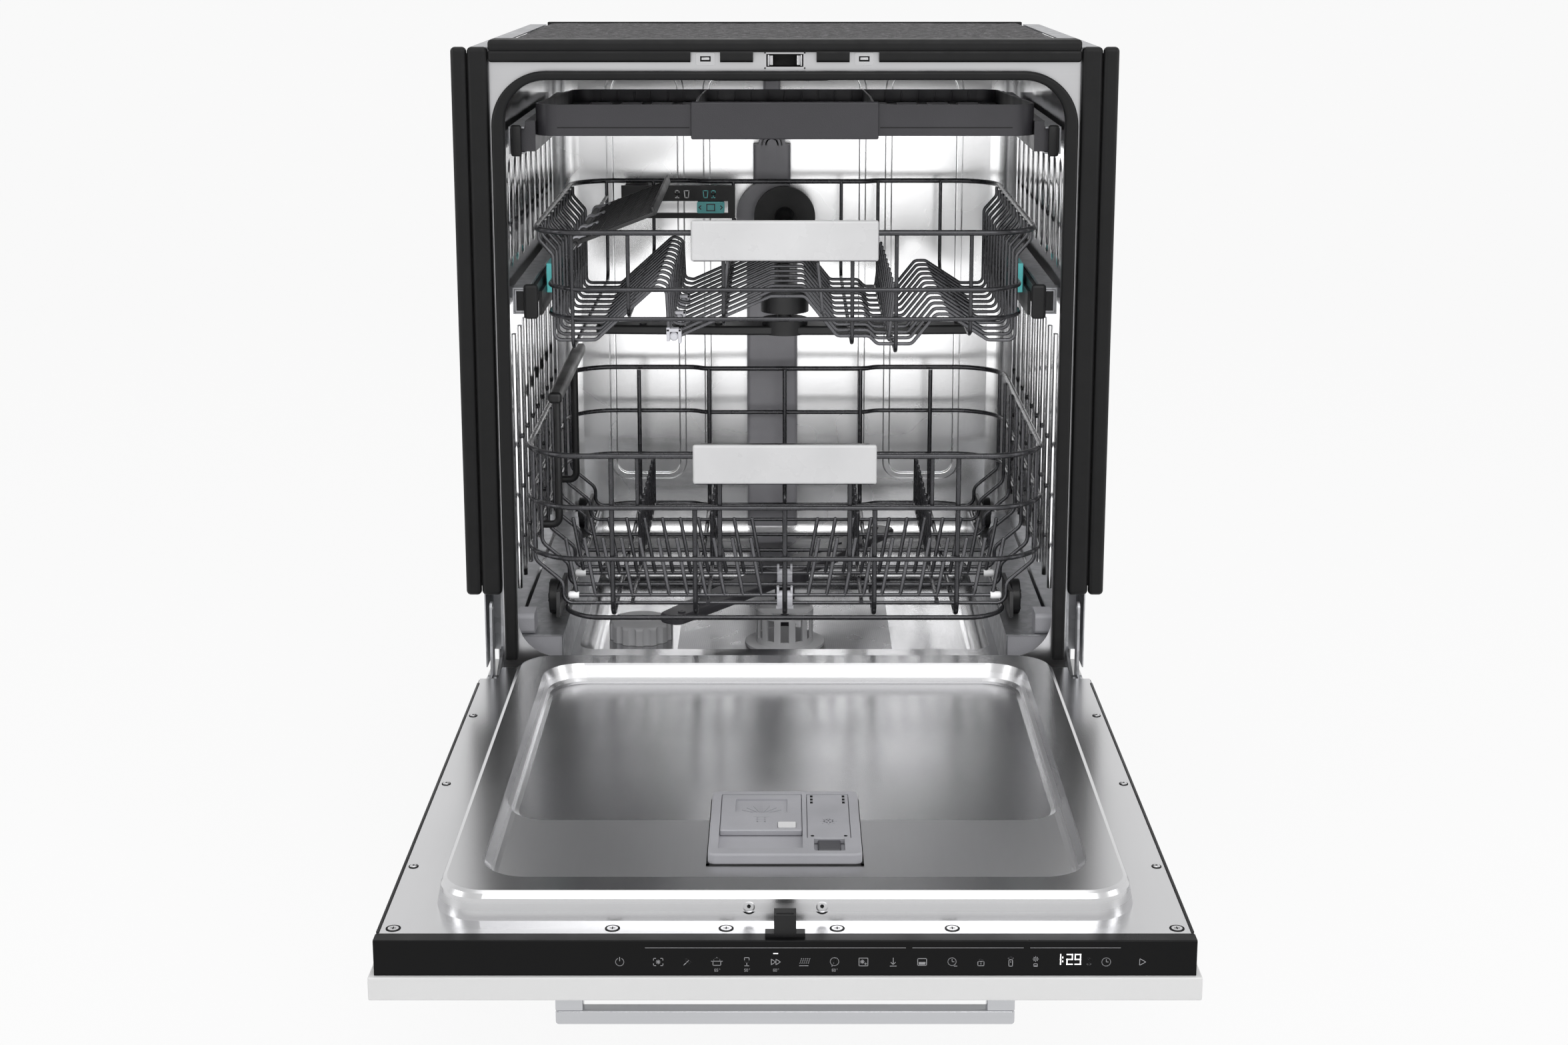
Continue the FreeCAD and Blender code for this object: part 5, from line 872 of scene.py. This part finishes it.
def build_shelf_marks():
    """Pictograms on the shelf bracket and the frame on its slider."""
    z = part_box("shelf_bracket")[1].z - BRACKET_DROP * MM
    face = spot(0, BRACKET_FACE, 0).y
    goblet = [[(-1.6, 3.0), (-1.6, 1.0)] + arc(0, 1.0, 1.6, 180, 360) + [(1.6, 3.0), (-1.6, 3.0)],
              [(0, -0.6), (0, -2.8)], [(-1.3, -2.8), (1.3, -2.8)]]
    tumbler = [[(-2.0, 3.0), (-1.4, -2.8), (1.4, -2.8), (2.0, 3.0), (-2.0, 3.0)]]
    for name, look, marks in (
            ("shelf_bracket_marks", "silver_plastic", ((goblet, -125.0), (tumbler, -114.0))),
            ("shelf_bracket_tints", "teal_plastic", ((tumbler, -92.0), (goblet, -83.0)))):
        ink = Form()
        for strokes, x in marks:
            ink.drawing(strokes, 1.1, (Vector((x * MM, face, z)), RIGHT, UP), 0.12, 1.4)
        ink.piece(name, "upper_rack", look)
    low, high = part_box("shelf_slider")
    middle = (low + high) / 2
    plane = (Vector((middle.x, low.y, middle.z)), RIGHT, UP)
    grip = Form()
    grip.drawing([frame_box(0, 0, 9.0, 7.5), [(-11.5, 2.0), (-13.5, 0), (-11.5, -2.0)],
                  [(11.5, 2.0), (13.5, 0), (11.5, -2.0)]], 1.1, plane, 0.5)
    grip.piece("shelf_slider_grip", "shelf_slider", "teal_plastic", LOOKS["grey_plastic"])


TRAY_TOP = 797.0
TRAY_FRONT = 20.0
TRAY_BACK = 432.5
STEP_PLACES, STEP_HALF, STEP_DROP = (-155.0, 155.0), 63.0, 22.0
RIB_PITCH, RIB_HALF = 19.0, 0.9
RIB_LOW, RIB_TOP = TRAY_TOP - 27.2, TRAY_TOP - 16.0
DIVIDER_X = 89.0
RAIL_LINE = 763.0
CAP_INNER, CAP_OUTER = 252.5, 262.5


def build_tray_trim():
    """Black line of painted shade in the step along the front of the tray, ribs on its back wall and caps on
    its runners.
    """
    line = Form()
    for x in STEP_PLACES:
        plane = (spot(x, TRAY_FRONT, TRAY_TOP - STEP_DROP), RIGHT, UP)
        # A black line along the step of the grey tray: painted shade in its crease.
        line.stroke([(-STEP_HALF, 0), (STEP_HALF, 0)], 1.1, plane, 0.2)
    line.piece("tray_step_shade", "tray", "grey_plastic", LOOKS["black_plastic"])
    ribs = Form()
    for k in range(-11, 12):
        x = k * RIB_PITCH
        if abs(abs(x) - DIVIDER_X) > 4.0:
            ribs.block(spot(x - RIB_HALF, TRAY_BACK - 1.6, RIB_LOW),
                       spot(x + RIB_HALF, TRAY_BACK + 0.3, RIB_TOP), 0.4)
    ribs.piece("tray_ribs", "tray", "grey_plastic")
    caps = Form()
    for side in (-1, 1):
        inner, outer = sorted((side * CAP_INNER, side * CAP_OUTER))
        caps.block(spot(inner, 11.5, RAIL_LINE - 15.0), spot(outer, 17.6, RAIL_LINE + 15.0), 2.2)
        caps.block(spot(inner + 1.0, 16.0, RAIL_LINE - 9.0), spot(outer - 1.0, 25.0, RAIL_LINE + 9.0), 1.0)
    caps.piece("tray_runner_caps", "tray", "black_plastic")


# Cabinet

LATCH_Z = 840.0
ROLLER = ((1.2, 0.0), (2.4, 0.6), (2.4, 9.4), (1.2, 10.0))
ROLLER_X, CHEEK_X = 13.2, 15.6
TAB_PLACES = (-75.0, 75.0)


def build_latch():
    """Steel frame and rollers of the latch mouth, and the hooks of the counter tabs with their windows painted
    dark as shade.
    """
    form = Form()
    for side in (-1, 1):
        foot = spot(side * ROLLER_X, 5.0, LATCH_Z - 5.0)
        form.turned(ROLLER, foot, UP, 16)
        x = side * CHEEK_X
        form.block(spot(x - 0.8, 1.4, LATCH_Z - 5.4), spot(x + 0.8, 9.0, LATCH_Z + 5.4), 0.4)
    form.stroke(frame_box(0, 0, 37.4, 14.4), 1.4, (spot(0, 0, LATCH_Z), RIGHT, UP), 0.5)
    form.piece("latch_rollers", "cabinet", "steel_satin")
    hooks = Form()
    windows = Form()
    for x in TAB_PLACES:
        hooks.block(spot(x - 3.8, -1.1, LATCH_Z + 0.4), spot(x + 3.8, -0.3, LATCH_Z + 2.9), 0.3)
        # Windows of the tabs drawn as thin near-black plates: painted shade in the openings.
        windows.block(spot(x - 5.0, -0.35, LATCH_Z - 1.0), spot(x + 5.0, 0.1, LATCH_Z + 4.0), 0.1)
    hooks.piece("tab_hooks", "cabinet", "steel_satin")
    windows.piece("tab_window_shade", "cabinet", "black_plastic", PAINTED_SHADE)


FLUTE_ROWS = [60.0 + 49.1 * k for k in range(9)]
FLUTE_LOW, FLUTE_TOP = 632.0, 742.0
FLUTE_WIDTH, FLUTE_HEIGHT = 20.0, 2.4
TRACK_FRONT, TRACK_DEEP = 13.0, 20.0
TRACK_END = ((223.6, 226.0), (244.0, 226.0), (254.0, 228.0), (262.0, 233.0), (267.0, 239.0), (267.4, 267.6),
             (223.6, 267.6))


def build_walls():
    """Pressed flutes of the side walls and plastic ends of the lower tracks."""
    flutes = Form()
    for side in (-1, 1):
        x = side * TUB_HALF
        for y in FLUTE_ROWS:
            low, high = spot(x, y, FLUTE_LOW), spot(x, y, FLUTE_TOP)
            flutes.ridge(low, high, FLUTE_WIDTH, (-side, 0, 0), FLUTE_HEIGHT)
    flutes.piece("wall_flutes", "cabinet", "steel_polished")
    ends = Form()
    for side in (-1, 1):
        loop = TRACK_END if side > 0 else [(-x, z) for x, z in TRACK_END[::-1]]
        verts = [spot(x, y, z) for y in (TRACK_DEEP, TRACK_FRONT) for x, z in loop]
        ends.add(verts, tube_faces(2, len(loop)))
    ends.piece("track_ends", "cabinet", "light_grey_plastic")


DUCT_ARCH = (-15.0, 500.1, 714.0)
ARCH_RADII = (7.0, 11.5)
ARCH_LEG = 26.0


def build_duct_ridges():
    """Raised arches on the upper part of the spray duct."""
    form = Form()
    for radius in ARCH_RADII:
        line = [(radius, -ARCH_LEG)] + arc(0, 0, radius, 0, 180, 16) + [(-radius, -ARCH_LEG)]
        form.stroke(line, 1.6, (spot(*DUCT_ARCH), RIGHT, UP), 1.2)
    form.piece("duct_ridges", "cabinet", slot_of["spray_duct"], DUCT)


# Each spray arm: its body, half length, turn in degrees, width and the height of its upper face.
ARMS = (("lower_arm", 217.0, 56.0, 44.0, 256.3 + 11.5), ("upper_arm", 205.0, 0.0, 40.0, 532.0 + 11.5))
JET_SHARES = (0.35, 0.55, 0.75, 0.92)


def build_nozzles():
    """Jets on the spray arms, painted dark as shade in their holes."""
    for body, reach, turn, width, top in ARMS:
        form = Form()
        middle = spot(0, HUB_Y, 0)
        angle = math.radians(turn)
        out = Vector((math.cos(angle), math.sin(angle), 0))
        over = Vector((-math.sin(angle), math.cos(angle), 0))
        for side in (-1, 1):
            for share in JET_SHARES:
                place = middle + out * (side * reach * share * MM) + over * (side * width * 0.12 * MM)
                plane = (Vector((place.x, place.y, top * MM)), out, over)
                # Near-black strokes for the jet holes: painted shade.
                form.stroke([(-1.6, 0), (1.6, 0)], 1.0, plane, 0.1)
        form.piece(body + "_jet_shade", body, "black_plastic", PAINTED_SHADE)


FELT_TOP, FELT_CORNER, FELT_THICK = 839.7, 35.7, 8.0
FELT_FRONT, FELT_BACK = 48.0, 499.0
MAT_HALF = 278.0
MAT_SEAT, MAT_WAIST, MAT_SOFT = 838.5, 846.0, 9.0
MAT_STEPS = [0.0, 0.7, 1.8, 3.4, 5.8, 9.0, 14.0]
MAT_FIELD = 20.0
SIDE_SINK, SIDE_SWAY, MAT_SINK = 1.2, 1.1, 0.9
LUMPS = ((24, 0.6), (95, 0.4))  # scale and share


def lump(place):
    """Uneven loft of the felt, from -1 to 1."""
    return sum(noise.noise(place * scale) * share for scale, share in LUMPS)


def arch(half, foot, top, corner):
    """Outline over the tub from its right foot to its left foot."""
    flat, bend = half - corner, top - corner
    right = [(half, foot + (bend - foot) * k / 24) for k in range(25)]
    for k in range(1, 11):
        angle = math.pi / 2 * k / 10
        right.append((flat + corner * math.cos(angle), bend + corner * math.sin(angle)))
    across = [(flat - 2 * flat * k / 40, top) for k in range(1, 40)]
    return right + across + [(-x, z) for x, z in right[::-1]]


def felt_sides(form, half, foot):
    """Blanket folded over the sides and ceiling of the tub, lofted on its outer face."""
    outer = arch(half, foot, FELT_TOP, FELT_CORNER)
    inner = arch(half - FELT_THICK, foot, FELT_TOP - FELT_THICK, FELT_CORNER - FELT_THICK)
    rows = 48
    verts = []
    for j in range(rows + 1):
        y = FELT_FRONT + (FELT_BACK - FELT_FRONT) * j / rows
        edge = min(1.0, 4.0 * min(j, rows - j) / rows + 0.35)
        face = []
        for (x, z), (deep_x, deep_z) in zip(outer, inner):
            place = spot(x, y, z)
            inward = (spot(deep_x, y, deep_z) - place).normalized()
            face.append(place + inward * max(0.0, SIDE_SINK - SIDE_SWAY * lump(place)) * edge * MM)
        verts += face + [spot(x, y, z) for x, z in inner[::-1]]
    form.add(verts, [loop[::-1] for loop in tube_faces(rows + 1, 2 * len(outer))])


def felt_mat(form, half, front, back, top):
    """Thick mat on the ceiling: a crowned pad with soft edges."""
    rows = []
    for low, high, count in ((-half, half, 60), (front, back, 52)):
        inner = [low + MAT_FIELD + (high - low - 2 * MAT_FIELD) * k / count for k in range(count + 1)]
        rows.append([low + s for s in MAT_STEPS] + inner + [high - s for s in MAT_STEPS[::-1]])
    xs, ys = rows
    verts, index = [], {}
    for face in (1, 0):
        for j, y in enumerate(ys):
            for i, x in enumerate(xs):
                rim = i in (0, len(xs) - 1) or j in (0, len(ys) - 1)
                if rim and not face:
                    index[0, i, j] = index[1, i, j]
                    continue
                inset = min(half - abs(x), y - front, back - y)
                round_off = math.sqrt(max(0.0, 1 - (1 - min(inset / MAT_SOFT, 1.0)) ** 2))
                z = MAT_SEAT + (MAT_WAIST - MAT_SEAT) * (1 - round_off)
                if face:
                    loft = max(0.0, MAT_SINK - MAT_SINK * lump(spot(x, y, top)))
                    z = MAT_WAIST + (top - MAT_WAIST - loft) * round_off
                index[face, i, j] = len(verts)
                verts.append(spot(x, y, z))
    faces = []
    for face in (1, 0):
        for j in range(len(ys) - 1):
            for i in range(len(xs) - 1):
                loop = [index[face, a, b] for a, b in ((i, j), (i + 1, j), (i + 1, j + 1), (i, j + 1))]
                faces.append(loop if face else loop[::-1])
    form.add(verts, faces)


def build_felt():
    """Felt round the tub in two layers, and a black strip along the rear edge of the mat."""
    low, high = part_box("tub_felt")
    front, back, top = low.y / MM - FRONT, high.y / MM - FRONT, high.z / MM
    form = Form()
    felt_sides(form, high.x / MM, low.z / MM)
    felt_mat(form, MAT_HALF, front, back, top)
    made = form.piece("felt_blanket", "cabinet", "felt", sharp=60.0)
    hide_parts("tub_felt")
    rear_strip = Form()
    rear_strip.block(spot(1.0 - MAT_HALF, back - 10.0, top - 5.0), spot(MAT_HALF - 1.0, back + 0.6, top + 0.7), 1.0)
    rear_strip.piece("felt_rear_strip", "cabinet", "black_rubber")


build_controls()
build_door_fittings()
build_dispenser_marks()
build_handle_edges()
build_rack_clips()
build_wheels()
build_cup_shelf()
build_shelf_marks()
build_tray_trim()
build_latch()
build_walls()
build_duct_ridges()
build_nozzles()
build_felt()


# Stage, light and camera

def bright_rays(tree):
    """Factor that is one for rays that should see a plain white background."""
    path = tree.nodes.new("ShaderNodeLightPath")
    total = path.outputs["Is Camera Ray"]
    for name in ("Is Glossy Ray", "Is Transmission Ray"):
        most = tree.nodes.new("ShaderNodeMath")
        most.operation = "MAXIMUM"
        tree.links.new(total, most.inputs[0])
        tree.links.new(path.outputs[name], most.inputs[1])
        total = most.outputs[0]
    return total


def show_bright(tree, factor, plain, bright, output):
    """Mixes a bright shader over a plain one, into an output."""
    mix = tree.nodes.new("ShaderNodeMixShader")
    tree.links.new(factor, mix.inputs["Fac"])
    tree.links.new(plain.outputs[0], mix.inputs[1])
    tree.links.new(bright.outputs[0], mix.inputs[2])
    tree.links.new(mix.outputs[0], tree.nodes[output].inputs["Surface"])


PAPER_GLOW = 0.9
FLOOR_REACH = 40.0
SWEEP_START, SWEEP_RADIUS, SWEEP_TOP = 4.0, 2.0, 9.0


def stage_material():
    """Pale paper that looks white to the camera and keeps a soft shadow."""
    look = Look("backdrop_paper", Base_Color=(0.86, 0.86, 0.86, 1), Roughness=0.9)
    glow = look.node("ShaderNodeEmission")
    share = look.math("MULTIPLY", bright_rays(look.tree), PAPER_GLOW)
    show_bright(look.tree, share, look.shader, glow, "Material Output")
    return look.material


def build_stage():
    """Floor that sweeps up into a backdrop well behind the machine."""
    profile = [(-FLOOR_REACH, 0.0), (SWEEP_START, 0.0)]
    for k in range(1, 13):
        angle = math.pi / 2 * k / 12
        rise = SWEEP_RADIUS - SWEEP_RADIUS * math.cos(angle)
        profile.append((SWEEP_START + SWEEP_RADIUS * math.sin(angle), rise))
    profile.append((SWEEP_START + SWEEP_RADIUS, SWEEP_TOP))
    verts = [(x, y, z) for y, z in profile for x in (-FLOOR_REACH, FLOOR_REACH)]
    faces = [(2 * i, 2 * i + 1, 2 * i + 3, 2 * i + 2) for i in range(len(profile) - 1)]
    floor = smooth_object("floor_sweep", verts, faces, stage_material())


SKY_LEVEL = 0.5
# Each lamp: its name, place, aim, size in metres and power in watts.
LAMPS = (("key", (0.5, -2.9, 2.2), (0.0, 0.1, 0.5), (2.0, 1.4), 30.0),
         ("left", (-2.3, -1.1, 1.5), (0.0, 0.0, 0.5), (0.7, 2.0), 12.0),
         ("right", (2.3, -1.0, 1.5), (0.0, 0.0, 0.5), (0.7, 2.0), 12.0),
         ("top", (0.0, -0.3, 2.9), (0.0, 0.1, 0.6), (1.6, 1.6), 10.0),
         ("mouth", (0.0, 0.073, 0.52), (0.0, 0.6, 0.52), (0.48, 0.46), 0.7))


def build_light():
    """Even sky, white to the camera, and five soft lamps."""
    world = bpy.data.worlds.new("studio")
    scene.world = world
    world.use_nodes = True
    tree = world.node_tree
    sky = tree.nodes["Background"]
    sky.inputs["Color"].default_value = (1, 1, 1, 1)
    sky.inputs["Strength"].default_value = SKY_LEVEL
    white = tree.nodes.new("ShaderNodeBackground")
    show_bright(tree, bright_rays(tree), sky, white, "World Output")
    for name, place, aim, size, power in LAMPS:
        lamp = bpy.data.lights.new(name, "AREA")
        lamp.shape = "RECTANGLE"
        lamp.size, lamp.size_y = size
        lamp.energy = power
        holder = bpy.data.objects.new(name, lamp)
        holder.location = place
        holder.rotation_euler = (Vector(aim) - Vector(place)).to_track_quat("-Z", "Y").to_euler()
        holder.visible_camera = False
        scene.collection.objects.link(holder)


CAMERA_LENS, CAMERA_SENSOR, CAMERA_SHIFT = 51.6, 36.0, -0.07
CAMERA_PLACE = (-0.0008, FRONT * MM - 2.146, 0.961)
CAMERA_TILT = 12.14


def build_camera():
    """Camera in front of the machine, a little above it and tilted down."""
    camera = bpy.data.cameras.new("camera")
    camera.lens = CAMERA_LENS
    camera.sensor_width = CAMERA_SENSOR
    camera.shift_y = CAMERA_SHIFT
    holder = bpy.data.objects.new("camera", camera)
    holder.location = CAMERA_PLACE
    holder.rotation_euler = (math.radians(90.0 - CAMERA_TILT), 0.0, 0.0)
    scene.collection.objects.link(holder)
    scene.camera = holder


build_stage()
build_light()
build_camera()
scene.view_settings.view_transform = "Standard"
